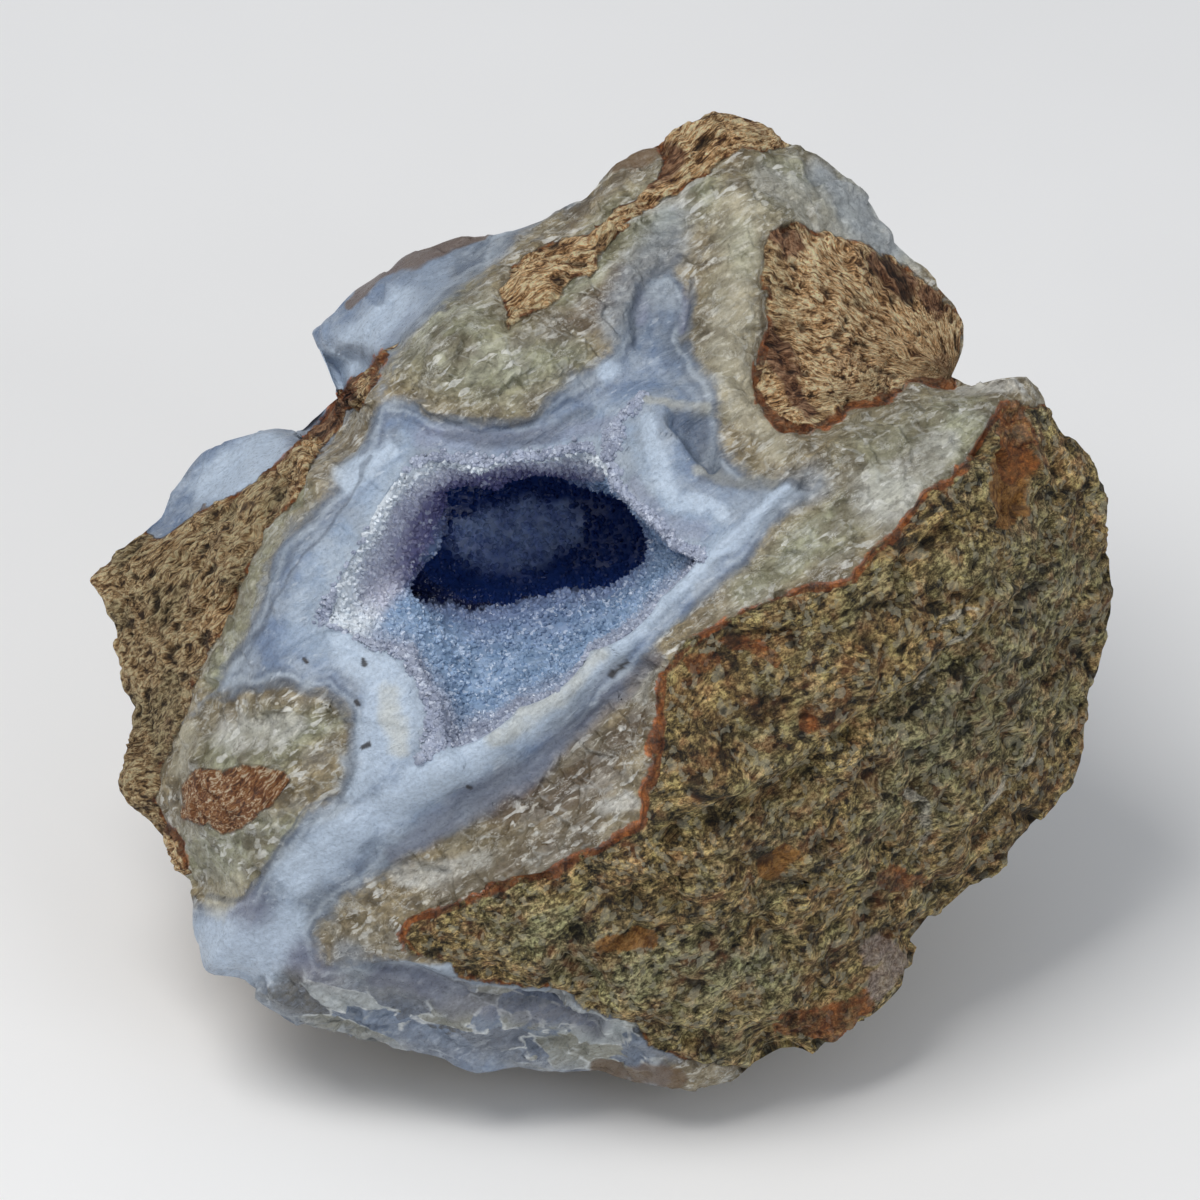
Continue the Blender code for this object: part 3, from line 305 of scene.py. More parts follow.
# Zones of the front, each a list of strokes: x, y and half width along a line.
ZONES = {
    "white": [
        [(22, 12.8, 0.6), (16.8, 8.4, 1), (12, 4, 1.2), (4.8, -3, 1.1), (0, -7.2, 1.2), (-4.8, -11, 1.4),
         (-9.6, -14.6, 1.7), (-15.6, -18.6, 2.4), (-24, -23.4, 2.6), (-31.2, -28.6, 2.6), (-36, -32.6, 2.9)],
        [(-30, -6, 1.7), (-25.8, -8.4, 2.4), (-24, -12.6, 2.9), (-25.4, -18, 2.4), (-29.4, -22.2, 1.7)],
        [(-46.8, 13.8, 2.6), (-41, 17, 3.6)],
        [(-35.4, 25.2, 3), (-29, 31, 2.4), (-24, 36, 1.8)],
        [(-46, -40.8, 3.6), (-40.8, -42.6, 3.2), (-37, -38, 2.2)],
        [(5.4, 21.4, 0.8), (6.2, 17.6, 1), (9, 12.6, 1.2), (14.4, 10.4, 0.9)],
        [(-26.4, -9.6, 2.2), (-25.6, -14.4, 2.4), (-28.6, -19.2, 2)],
        [(-30.6, 14.4, 1.2), (-25.2, 17.8, 1)],
        [(0.8, 27.2, 1.2)],
        [(-23.4, -42.9, 0.5), (-17.4, -44.6, 0.7), (-12, -45.3, 0.5), (-6.7, -46, 0.7), (-0.7, -48.4, 0.5)],
    ],
    "cream": [
        [(0.7, -6.2, 1), (-4.1, -10.3, 1.2), (-8.4, -13.4, 1.2), (-12, -16.2, 1)],
        [(16.8, 45, 3.6), (16.2, 37.2, 3.6), (15.6, 30, 3.6), (16.8, 23.4, 2.9), (21.6, 18, 1.7)],
        [(4.8, 23.5, 0.7), (8.4, 22.9, 0.7), (12.5, 22.6, 0.8)],
        [(11.5, 15.4, 0.8), (15.6, 14.2, 0.8), (20.2, 13.9, 1)],
        [(-25, -10.8, 1.4), (-23.8, -17.4, 1.4)],
        [(-49.2, -15.6, 1.4), (-50.6, -20.4, 1)],
        [(-46.2, -36.6, 1.7), (-43.2, -33.6, 1.2)],
    ],
    "green": [
        [(16.4, 43.4, 2), (17.4, 39.6, 1.6)],
        [(-19.2, 32.4, 6), (-12, 27.6, 4.8), (-4.8, 28.8, 3.1)],
        [(22.8, 50.4, 4.3), (30, 46.2, 4.3), (36, 42, 2.4)],
        [(-48, -30, 2.9), (-43.2, -30, 3.6), (-37.2, -27.8, 2.2)],
        [(34.8, 15.6, 6), (43.2, 21.6, 3.6), (27.6, 8.4, 2.9), (16.8, 1.2, 1.7)],
        [(-36, 13.2, 1.4), (-40.6, 4.8, 1.4), (-43.7, -3.6, 1.4), (-45.6, -9.6, 1.4)],
        [(-32.4, -14.4, 1.7), (-39.6, -17.4, 3.6), (-44.4, -19.2, 2.9)],
        [(10.8, 49.2, 3.6), (2.4, 44.4, 2.9), (-4.8, 37.8, 2.4)],
    ],
    "line": [
        [(-18, 19.2, 0.6), (-12, 18.6, 0.9), (-6, 19.4, 1.1), (-1, 22.4, 0.9)],
        [(-21, 23.3, 0.1), (-19.2, 21.8, 0.4), (-15.6, 20.9, 0.5), (-12, 20.6, 0.6), (-8.4, 21.7, 0.5),
         (-5.8, 23.8, 0.2)],
        [(9.6, 41.4, 0.5), (6.8, 39.4, 0.8), (5, 36.6, 0.8), (3.8, 33, 0.7), (3.2, 30, 0.4)],
        [(11, 38.4, 0.4), (10.4, 34.2, 0.7), (10.2, 30.6, 0.5)],
        [(-45.4, -12.2, 0.2), (-42.6, -10.7, 0.5), (-37.8, -10.1, 0.6), (-33.6, -10.9, 0.6),
         (-31, -12.7, 0.6), (-29.6, -16.2, 0.7), (-29.8, -19.8, 0.6), (-31, -23.4, 0.4)],
        [(-27.6, 16.9, 0.2), (-30.8, 11.8, 0.2), (-33.8, 6.6, 0.2), (-36, 3.6, 0.2), (-36.7, 2.3, 0.2),
         (-40.1, -2.9, 0.4), (-43.9, -7.7, 0.4)],
        [(-46.9, -35.5, 0.4), (-42.2, -35.5, 0.4), (-40.9, -33.4, 0.4), (-38.4, -29.5, 0.2),
         (-34.9, -25.2, 0.2), (-31.6, -23.9, 0.2)],
        [(12, 14.4, 0.5), (14.4, 14.4, 0.9), (19.2, 13.6, 0.9), (24, 13.4, 0.4)],
        # in the recess: partly the agate's slate, partly painted shade
        [(9.1, 21.6, 0.9), (11.3, 20.2, 1.7), (12.5, 17.8, 1.4), (13.4, 16.1, 0.8)],
        [(-22.9, -42.7, 0.2), (-17.4, -44.9, 0.4), (-12, -45.6, 0.2), (-6.7, -46.2, 0.4), (-0.7, -48.7, 0.4)],
    ],
    "shade": [
        [(6.6, -6.6, 0.7), (0, -13.2, 1.2), (-4.8, -17.4, 1.7), (-9.6, -21, 2.2), (-15.6, -24, 2.2),
         (-20.4, -27.6, 1.9), (-24, -30, 1)],
        [(-27, -45, 1.2), (-22.9, -45.4, 1.6), (-17.4, -47.4, 1.8), (-6.7, -49, 1.8), (0, -51, 1.4)],
    ],
    "rust": [
        [(49.2, 22.6, 1.2), (49.6, 19.4, 1.7), (49.9, 16.4, 1.9)],
        [(10.8, -7.4, 1), (13.2, -6.6, 1)],
        [(22.6, -50.8, 1.4), (27.6, -50.2, 1.9), (32, -47.8, 1.2)],
        [(2, 53.3, 0.6), (4.8, 53.8, 0.7), (7.2, 54.4, 0.6)],
        [(34.2, -33.6, 1.2), (38.4, -34.2, 1)],
        [(16.2, -4.8, 1.2), (20.4, -6.6, 0.7)],
        [(24.6, -14.4, 1.1)],
    ],
    "rusty": [
        [(-24, -39.8, 2.4), (-19.2, -37.8, 2.4), (-12, -34.4, 1.4), (-6, -32.2, 1), (0, -28.8, 1.2),
         (5.4, -25, 2.2), (6.2, -18, 1.4), (7.4, -9, 1), (14, -2.6, 0.9), (20, 0.4, 0.8), (30, 3, 0.8),
         (36, 9.6, 0.9), (44.4, 18, 1), (48, 23.4, 0.9)],
        [(45, 26, 1), (40, 26, 1.2), (33.6, 24.2, 1.2), (26.4, 20.2, 1.2), (21.8, 20.6, 1), (18.2, 25.4, 1),
         (19.6, 32, 0.6)],
        [(1.7, 53, 1), (5, 54, 1.2), (8, 54.6, 1)],
        [(-26.4, 29, 1.4), (-33, 22, 1.2), (-39, 15.6, 0.9)],
        [(-48, -31, 1), (-52, -26, 1)],
    ],
    "ochre": [
        [(49, 15.4, 2.5), (48.6, 12.8, 2.6), (48.8, 10.8, 1.9)],
        [(20.4, -31.8, 1.7), (22.2, -30, 1.2)],
        [(1.2, -40.8, 1.4), (6, -40.2, 1.2)],
    ],
    "druse": [
        [(5.3, 23.8, 0.4), (2.2, 20.4, 0.6), (1.2, 16.6, 0.7), (2, 13.2, 0.8), (5.4, 9.8, 1),
         (8.2, 6.6, 1.1), (11.8, 4.6, 0.7)],
        [(-31.8, -3.4, 0.5), (-27.4, -4.3, 0.8), (-23, -6, 0.9), (-20.6, -9.4, 1.2), (-19.2, -13, 1.3),
         (-19.4, -16.2, 1.1), (-21.1, -18.8, 0.6)],
        [(-20.6, 15.8, 1.1), (-18.6, 15.6, 1.4), (-12, 15.7, 1), (-4.8, 16.6, 1), (-1, 17.6, 0.8)],
        [(-20.6, 15.6, 1.4), (-23.8, 11.4, 1.4), (-26.9, 6.2, 1.4), (-30, 1, 1.4), (-32.4, -2, 1)],
    ],
    "shards": [
        [(-38.4, -46.4, 2.4), (-30, -49.4, 3.4), (-20.4, -50.8, 3.4), (-12, -50.6, 3.4), (-4.8, -52.8, 3.6),
         (4, -54.6, 2.8)],
        [(-15, -46.8, 1.6), (-6, -48.2, 2.2), (2, -50.4, 2.2), (8, -53.2, 1.8)],
    ],
    "mauve": [
        [(4.4, 14, 1), (7.6, 9.6, 1.4), (11.6, 8.2, 1.4)],
        [(-20.4, 19.2, 1.7), (-12, 18.4, 1.2), (-3.6, 19.7, 1.2), (1.2, 21, 1)],
        [(-43.2, -38.4, 4.8), (-33.6, -45, 2.4)],
        # along the channel's grooves: painted shadow lines
        [(4.8, 33.6, 1), (4.8, 37.2, 0.8), (6.6, 40.2, 0.6)],
        [(9.6, 32.4, 0.7), (10.3, 37.2, 0.6)],
        [(-24, 34.8, 2), (-27.6, 31.8, 2)],
    ],
    "umber": [
        [(-30.6, 36.2, 0.6), (-27, 39, 0.8), (-20.6, 42.2, 1), (-13, 44.4, 0.8)],
        [(1, 52.4, 0.8), (4.8, 53.8, 1.1), (8, 54.8, 1)],
        [(0, -55.8, 0.8), (5, -56.6, 1.2), (9, -57.4, 1.2)],
    ],
    "olive": [[(-40, 12, 2.4), (-46, 5, 5), (-54, 2, 6), (-52, -12, 6), (-56, -24, 5)]],
    "brownish": [
        [(-6, 32.6, 2.2), (-0.6, 34.4, 2), (1.8, 38.6, 1.6)],
        [(-12, -24, 2.4), (-4.8, -22.8, 3.1), (1.2, -18, 2.2), (-4.8, -28.8, 3.1), (-18, -34.8, 1.9)],
        [(4.8, -12, 1.7), (3, -16.8, 1.9)],
    ],
    "milk": [
        [(20, 50.4, 1.6), (26.4, 46.8, 2.2), (33, 43.4, 1.2)],
        [(4.8, -10.8, 1), (6.2, -8.4, 0.7)],
        [(0, -24.6, 1), (3.6, -24, 1)],
        [(-24, -32.2, 1.2), (-19.2, -32.6, 1.4), (-14.4, -31, 1)],
        [(33.6, 12, 3.6), (40.8, 19.2, 1.7)],
        [(43.2, 25.2, 1), (49.8, 25.4, 0.7)],
        [(10.8, 51.6, 1.9), (6, 47.4, 1.4)],
        [(26, 52, 1.2), (32, 46.6, 1.6), (38, 39.4, 1.2)],
        [(-43.2, -16.2, 2.4), (-36, -15, 1.4)],
        [(-47.4, -39.6, 1)],
    ],
    "haze": [
        [(1.6, 32, 1.6), (3.6, 37.4, 2.4), (8, 42.8, 3), (9, 46, 2)],
        [(13.8, 12.6, 1.4), (19, 11.4, 2.4), (25, 13.6, 2)],
        [(27, 50.6, 2), (31, 46.6, 2.8), (35, 41.6, 2)],
        [(-26, -30, 1.6), (-20, -26.8, 1.6), (-12, -22.4, 1.4), (-4, -16.6, 1.2)],
        [(-30, -42, 2)],
    ],
    "sky": [[(-36, 27, 3), (-26.4, 33.6, 3.4), (-19.2, 39.6, 2)]],
    "specks": [
        [(-28.1, -6.9, 0.2), (-27.9, -7.5, 0.4)],
        [(-35, -7.1, 0.25), (-34.7, -7.4, 0.25)],
        [(-28.9, -12, 0.3), (-28.6, -12.3, 0.3)],
        [(-28.2, -17.5, 0.25), (-27.4, -17.1, 0.35)],
        [(-15.6, -22.2, 0.3), (-15.3, -22.4, 0.3)],
        [(1.4, -8.8, 0.45), (2.2, -8.2, 0.3), (3.2, -7.3, 0.25)],
    ],
    "vein": [
        [(37.2, -10.2, 0.2), (40.8, -6, 0.4), (42.6, -3.6, 0.5), (44.4, -2.4, 0.2)],
        [(40.2, -3, 0.2), (42, -1.4, 0.4), (44.4, -0.6, 0.2)],
        [(36.6, -22.2, 0.5), (38.4, -24.6, 0.9), (39, -27.6, 0.7), (37.8, -30, 0.3)],
        [(46, -25.4, 0.3), (49.8, -21, 0.4), (52, -17, 0.3)],
    ],
    "tan": [[(12, -9, 5), (13, -17, 6), (22, -9, 7), (33, -1, 6), (42, 8, 5)]],
    "green rock": [[(38, -22, 7), (47, -12, 8), (54, 2, 6)], [(-10, -38, 4), (6, -46, 6), (20, -46, 4)]],
    "pinkish": [[(32.6, -41.4, 1.4), (34.6, -43.8, 1.8), (33.4, -46.4, 1.2)]],
    "red": [
        [(20.4, 44.2, 1.4), (22.8, 42.6, 1.6)],
        [(33, 40.6, 1.4), (37.2, 37.6, 1.8)],
        [(39.8, 36.6, 1.2), (41, 34.8, 1.2)],
        [(19.8, 33, 1.2), (21, 29.4, 1.6), (22.8, 25.8, 1.4), (24.6, 22.2, 1.2)],
        [(-30.6, 24.6, 1.6), (-33.6, 20.4, 1.4)],
        [(-48.6, 11, 1)],
        [(6, 50.4, 1.4), (9, 53.4, 1.2)],
    ],
}

# Ridges and grooves finer than the sheets, in the same way, with their heights.
RELIEFS = {
    "lip": (0.8, [
        [(27.4, 17.8, 0.6), (22.8, 13.8, 0.8), (16.8, 8.4, 1.1), (12, 4, 1.2), (4.8, -3, 1.2),
         (0, -7.2, 1.3), (-4.8, -11, 1.4), (-9.6, -14.4, 1.7), (-15.6, -18.2, 2.2), (-24, -23, 2.4)],
    ]),
    "lobe rims": (0.6, [
        [(5.3, 23.8, 0.7), (2.4, 20.4, 0.8), (1.2, 16.8, 0.8), (1.9, 13.8, 0.7), (4.8, 10.6, 0.7),
         (6.7, 7.2, 0.7), (10.8, 4.6, 0.6)],
        [(-32.2, -4.3, 0.7), (-28.2, -4.8, 0.8), (-23.8, -6.2, 0.8), (-21.6, -9, 0.8), (-19.7, -12.2, 0.8),
         (-19.2, -16.2, 0.7), (-21.1, -18.8, 0.6)],
    ]),
    "recess": (-2.2, [[(9.1, 21.6, 1.2), (11.3, 20.2, 1.9), (12.5, 17.8, 1.5), (13.4, 16.1, 0.8)]]),
    "rock ledge": (1.3, [
        [(6, -25.8, 1.2), (12, -22.6, 1.4), (19.2, -20.6, 1.4), (30, -12, 1.4), (36, -8.4, 1.2),
         (43.2, -2.6, 1.2), (48.6, 1.4, 0.8)],
    ]),
    "rock ledge foot": (-1.3, [
        [(7.2, -28.8, 1.6), (13.2, -25, 1.4), (21, -23, 1.6), (31.4, -14.2, 1.4), (37.2, -10.6, 1.3),
         (44.4, -4.8, 1.3)],
    ]),
    "rock dents": (-1.1, [
        [(27.6, -2.4, 1.9), (30, -6, 1.4)],
        [(24, -13.8, 1.2), (25.4, -15.6, 1)],
        [(19.2, -39.6, 1.9), (22.8, -42, 1.2)],
        [(36, -36, 1.7), (40.8, -33.6, 1.2)],
        [(46.8, -12, 1.7), (49.2, -16.8, 1.2)],
        [(12, -39.6, 1.7)],
        [(-4.8, -43.2, 1.2), (0, -45.6, 1.2)],
        [(52.8, 4.8, 1.4)],
        [(45, 18, 1), (48.6, 21.6, 1.4), (48.4, 12, 2)],
    ]),
    "channel lines": (-0.5, [
        [(4.6, 30.6, 0.7), (4.4, 34.2, 0.8), (5.6, 37.8, 0.7), (8, 40.4, 0.6)],
        [(9.4, 30.6, 0.5), (10, 34, 0.6), (10.6, 37.6, 0.5)],
        [(-20.4, 21.6, 0.6), (-14.4, 19.6, 0.7), (-8.4, 20.2, 0.7), (-3.6, 23.4, 0.6)],
    ]),
    "under step": (-1.3, [
        [(-26.4, -44, 0.8), (-22.9, -44.2, 1.1), (-17.4, -46.5, 1.3), (-6.7, -48, 1.3), (-0.7, -50.4, 1.2)],
    ]),
    "lip foot": (-0.7, [
        [(7.2, -7.4, 0.8), (0.6, -13.2, 1.1), (-4.8, -17.6, 1.4), (-9.6, -21, 1.6), (-15.6, -24.4, 1.6)],
    ]),
}

# Zones of the hollow, in the same way as the front's: the first is where painted shade darkens the crystals
# under the upper rim and down the left wall, the second the slate patch of painted light on the back wall's
# bulge.
DRUSE_ZONES = {
    "purple_shade": [[(-30, 0, 5), (-25.6, 6, 5), (-21, 14, 4), (-8, 17, 2.4), (0, 16, 2)]],
    "slate": [[(-16.2, 7.6, 2.6), (-13, 7.2, 4.4), (-9, 8.2, 4.6), (-4.6, 9, 3.2)]],
}


def polar(points, middle=SHEET_MIDDLE):
    """A ring's points as angle, distance and w about a middle, sorted by angle."""
    x, y, w = np.array(points, float).T
    x = x - middle[0]
    y = y - middle[1]
    angle = np.arctan2(y, x) % math.tau
    order = np.argsort(angle)
    return angle[order], np.hypot(x, y)[order], w[order]


def read_ring(points, angle, middle=SHEET_MIDDLE):
    """Distance and w of a closed ring at any angle, straight between its points."""
    at, distance, w = polar(points, middle)
    return np.interp(angle, at, distance, period=math.tau), np.interp(angle, at, w, period=math.tau)


def shifted(points, rise):
    """The points raised by so much in w."""
    return [(x, y, w + rise) for x, y, w in points]


class Sheet:
    """A surface w(x, y) spanned through spots: a sum of rounded cones (multiquadrics) and one plane."""

    BLOCK = 20000  # points worked out at a time

    def __init__(self, spots):
        self.spots = np.array(spots, float)
        count = len(self.spots)
        x, y, w = self.spots.T
        plane = np.column_stack([np.ones(count), x, y])
        system = np.block([[self.cones(x, y), plane], [plane.T, np.zeros((3, 3))]])
        self.weights = np.linalg.solve(system, np.append(w, np.zeros(3)))

    def cones(self, x, y):
        return np.sqrt((x[:, None] - self.spots[:, 0]) ** 2 + (y[:, None] - self.spots[:, 1]) ** 2 + BLEND**2)

    def __call__(self, x, y):
        heights = np.empty(len(x))
        for start in range(0, len(x), self.BLOCK):
            part = slice(start, start + self.BLOCK)
            terms = np.column_stack([self.cones(x[part], y[part]), np.ones(len(x[part])), x[part], y[part]])
            heights[part] = terms @ self.weights
        return heights


def hashed(cells, seed):
    """A repeatable value from -1 to 1 for each lattice cell, from its numbers with their bits mixed."""
    i, j, k = cells.T
    a, b, c, d = HASH_FACTORS
    n = (i * a + j * b + k * c + seed * d) & HASH_BITS
    n = ((n ^ (n >> 13)) * d) & HASH_BITS
    return ((n ^ (n >> 16)) & 0xFFFF) / 32767.5 - 1


def lattice_noise(points, size, seed):
    """Smooth noise from -1 to 1: the values hashed at a cell's corners, blended by smoothstep."""
    cells = np.floor(points / size).astype(np.int64)
    share = points / size - cells
    share = share * share * (3 - 2 * share)
    total = np.zeros(len(points))
    for corner in np.ndindex(2, 2, 2):
        total += hashed(cells + corner, seed) * np.prod(np.where(corner, share, 1 - share), axis=1)
    return total


def chips(points, size, tilt, step, blend, seed):
    """Flat chips: a point takes its nearest seed's tilted plane, blended into the next nearest's."""
    cells = np.floor(points / size).astype(np.int64)
    near = np.full((2, len(points)), np.inf)
    plane = np.zeros((2, len(points)))
    for offset in np.ndindex(3, 3, 3):
        cell = cells + np.array(offset) - 1
        stray = np.column_stack([hashed(cell, seed + key) for key in (0, 1, 2)])
        away = points - (cell + 0.5 + SEED_STRAY * stray) * size
        distance = np.linalg.norm(away, axis=1)
        slope = tilt * np.column_stack([hashed(cell, seed + key) for key in (3, 4, 5)])
        height = step * hashed(cell, seed + 6) + np.sum(away * slope, axis=1)
        first = distance < near[0]
        second = ~first & (distance < near[1])
        near[1] = np.where(first, near[0], np.where(second, distance, near[1]))
        plane[1] = np.where(first, plane[0], np.where(second, height, plane[1]))
        near[0] = np.where(first, distance, near[0])
        plane[0] = np.where(first, height, plane[0])
    own = 0.5 + 0.5 * np.clip((near[1] - near[0]) / blend, 0, 1)
    return plane[0] * own + plane[1] * (1 - own)


def depth_inside(polygon, x, y):
    """Distance to a polygon's edge, positive inside it."""
    corners = np.array(polygon)
    following = np.roll(corners, -1, axis=0)
    nearest = np.full(len(x), np.inf)
    inside = np.zeros(len(x), bool)
    for (ax, ay), (bx, by) in zip(corners, following):
        side_x = bx - ax
        side_y = by - ay
        along = np.clip(((x - ax) * side_x + (y - ay) * side_y) / (side_x**2 + side_y**2), 0, 1)
        nearest = np.minimum(nearest, np.hypot(x - ax - along * side_x, y - ay - along * side_y))
        if side_y:
            crosses = (ay > y) != (by > y)
            inside ^= crosses & (x < ax + (y - ay) * side_x / side_y)
    return np.where(inside, nearest, -nearest)


def deepest(polygons, x, y):
    """Distance inside whichever of the polygons goes furthest round a place, negative outside them all."""
    return np.max([depth_inside(polygon, x, y) for polygon in polygons.values()], axis=0)


def stroke_cover(strokes, x, y):
    """1 on a stroke's line, falling in proportion to 0 at its half width and below 0 outside it."""
    cover = np.full(len(x), -9.0)
    for stroke in strokes:
        for (ax, ay, ar), (bx, by, br) in zip(stroke, stroke[1:] or stroke):
            side_x = bx - ax
            side_y = by - ay
            length = max(side_x**2 + side_y**2, 1e-9)
            along = np.clip(((x - ax) * side_x + (y - ay) * side_y) / length, 0, 1)
            distance = np.hypot(x - ax - along * side_x, y - ay - along * side_y)
            cover = np.maximum(cover, 1 - distance / (ar + along * (br - ar)))
    return cover


def smoothstep(value, low=0.0, high=1.0):
    """0 below low, 1 above high and smooth between them."""
    share = np.clip((value - low) / (high - low), 0, 1)
    return share * share * (3 - 2 * share)


def leaned(directions):
    """Directions of the face frame turned into the world."""
    x, y, w = directions.T
    sine = math.sin(FACE_RISE)
    cosine = math.cos(FACE_RISE)
    return np.column_stack([x, y * sine - w * cosine, y * cosine + w * sine])


def to_world(face):
    """Face frame in millimetres to the world in metres: leaned back, and stood on its flat spot."""
    x, y, z = leaned(face).T
    return np.column_stack([x - BASE_MIDDLE[0], y - BASE_MIDDLE[1], np.maximum(z + BASE_DROP, 0)]) * MM


def turns(count):
    """Angles round the mouth's middle, spaced evenly along a ring between the mouth and the outline."""
    fine = np.linspace(0, math.tau, FINE_TURNS)
    ring = (1 - EVEN_RING) * read_ring(MOUTH, fine)[0] + EVEN_RING * read_ring(OUTLINE, fine)[0]
    steps = np.hypot(np.diff(ring * np.cos(fine)), np.diff(ring * np.sin(fine)))
    along = np.concatenate([[0], np.cumsum(steps)])
    return np.interp(np.arange(count) / count * along[-1], along, fine)


def grid_normals(grid):
    """Unit normals of a grid of points: the cross product of its two central differences."""
    across = np.roll(grid, -1, axis=1) - np.roll(grid, 1, axis=1)
    down = np.gradient(grid, axis=0)
    normal = np.cross(down, across)
    return normal / np.maximum(np.linalg.norm(normal, axis=2, keepdims=True), 1e-12)


def every_third_straight(row):
    """A closed row whose points between every third one lie straight between those."""
    kept = np.arange(0, len(row), COLUMNS_KEPT)
    start = row[kept]
    end = np.roll(start, -1, axis=0)
    share = (np.arange(COLUMNS_KEPT) / COLUMNS_KEPT)[None, :, None]
    return (start[:, None] * (1 - share) + end[:, None] * share).reshape(-1, 3)


def fibre_places(face, fanned):
    """Marks for the places along and across the host rock's fibres and into it: round FAN_MIDDLE where
    fanned, elsewhere on a slant that noise bends."""
    bent = face + FIBRE_BEND * np.column_stack([lattice_noise(face, 7, seed) for seed in (44, 45, 46)])
    sine = math.sin(FIBRE_SLANT)
    cosine = math.cos(FIBRE_SLANT)
    x = bent[:, 0] - FAN_MIDDLE[0]
    y = bent[:, 1] - FAN_MIDDLE[1]
    along = np.where(fanned, np.hypot(x, y), bent[:, 0] * cosine + bent[:, 1] * sine)
    across = np.where(fanned, np.arctan2(y, -x) * FAN_REACH, bent[:, 1] * cosine - bent[:, 0] * sine)
    return {"along": along, "across": across, "into": bent[:, 2]}


def wandered(face):
    """The x and y of places, pushed about by noise, so that the edges that are looked up there are uneven."""
    return [
        face[:, axis] + (0.7 * lattice_noise(face, 4.3, seed) + 0.3 * lattice_noise(face, 1.6, seed + 1))
        for axis, seed in enumerate((31, 33))
    ]


def coarse_roughness(face, rock):
    """The source model's own lumps, ridges, chips and pits, less on the agate than on the rock."""
    lumps = 0.8 * lattice_noise(face, 17, 1)
    ridges = 0.9 * (0.4 - np.abs(lattice_noise(face * (1, 1.6, 1), 9, 2)))
    pits = 0.4 * lattice_noise(face, 4, 3)
    share = AGATE_SMOOTHNESS + (1 - AGATE_SMOOTHNESS) * rock
    return lumps + (ridges + pits + chips(face, *LARGE_CHIPS)) * share


def crumbled_edge(face):
    """Small breaks along the outline, which the source model draws straight between its points."""
    waves = 0.7 * lattice_noise(face, 7, 61) + 0.15 * lattice_noise(face, 2.4, 62)
    return waves + 0.35 * chips(face, *EDGE_CHIPS)


def fine_relief(face, marks):
    """What the sheets are too coarse for: streaks, grain and pits of the basalt, fibres of the brown rock,
    chips of the quartz, grains of the druse, grooves along the rock's edges and the listed ridges. Adds the
    marks high and holes, from which the colours take painted light on the ridges and painted shade in the
    grooves and pits."""
    x, y, w = face.T
    rock = smoothstep(marks["rock"], -0.3, 0.5)
    brown = marks["brown"]
    glass = np.maximum(smoothstep(marks["quartz"], -0.5, 0.5), marks["shards"])
    fibres = np.column_stack([marks["along"], marks["across"], w])
    ridges = 1 - 2 * np.abs(lattice_noise(fibres * (0.34, 1, 0.6), 0.8, 47))
    streaks = 1 - 2 * np.abs(lattice_noise(fibres * (0.42, 1, 0.7), 1.2, 40))
    grain = 0.6 * lattice_noise(face, 1.1, 41) + 0.5 * lattice_noise(face, 0.6, 42)
    pits = smoothstep(lattice_noise(fibres * (0.7, 1, 1), 1.3, 43), 0.44, 0.74)
    caves = smoothstep(lattice_noise(fibres * (0.7, 1, 1), 4, 49), 0.6, 0.9)
    high = brown * (0.65 * ridges + 0.35 * grain) + (1 - brown) * (0.35 * streaks + 0.65 * grain)
    holes = np.maximum(0.8 * pits, 0.7 * caves)
    stony = 0.42 * high + (0.5 - 0.1 * brown) * chips(face, *ROCK_CHIPS) - 0.5 * holes
    facets = 0.8 * chips(face, *QUARTZ_CHIPS) + 0.5 * chips(face, *QUARTZ_SPLINTERS)
    facets = facets + 0.7 * marks["shards"] * chips(face * (0.6, 1, 1), *SHARD_CHIPS)
    smooth = 0.6 * chips(face, *AGATE_CHIPS) + 0.07 * lattice_noise(face, 2.5, 50)
    agate = glass * facets + (1 - glass) * smooth
    grains = 0.35 * (1 - 2 * np.abs(lattice_noise(face, 0.9, 54))) * marks["druse"]
    groove = -GROOVE_DEPTH * np.exp(-((marks["rock"] / GROOVE_WIDTH) ** 2))
    named = sum(
        height * smoothstep(stroke_cover(strokes, x, y), -0.5, 1)
        for height, strokes in RELIEFS.values()
    )
    # high lightens the rock's colour on its ridges and darkens it in its grooves, and holes darkens its pits:
    # painted light and painted shade
    marks["high"] = high * (1 - holes) - 0.4 * holes
    marks["holes"] = holes * rock
    return rock * stony + (1 - rock) * (agate + grains) + groove + named


def front_marks(face):
    """What shows where on the front: signed depth in the rock, the brown kinds of it, and each zone."""
    x, y = wandered(face)
    depths = {name: depth_inside(polygon, x, y) for name, polygon in ROCKS.items()}
    marks = {"rock": np.max(list(depths.values()), axis=0)}
    marks["core"] = smoothstep(depth_inside(NODULE_CORE, x, y), -0.6, 0.6)
    marks["quartz"] = deepest(QUARTZ, x, y)
    marks["brown"] = (depths["lower right"] < marks["rock"]).astype(float)
    marks.update(fibre_places(face, depths["upper right"] > -1))
    for name, strokes in ZONES.items():
        marks[name] = smoothstep(stroke_cover(strokes, x, y), -0.8, 0.8)
    x, y, _ = face.T
    marks["specks"] = smoothstep(stroke_cover(ZONES["specks"], x, y), -0.3, 0.3)
    mouth = -depth_inside([spot[:2] for spot in MOUTH], x, y)
    outside = np.maximum(-marks["quartz"], 0)
    marks["growth"] = outside / np.maximum(outside + np.maximum(mouth, 0), TINY)
    return marks


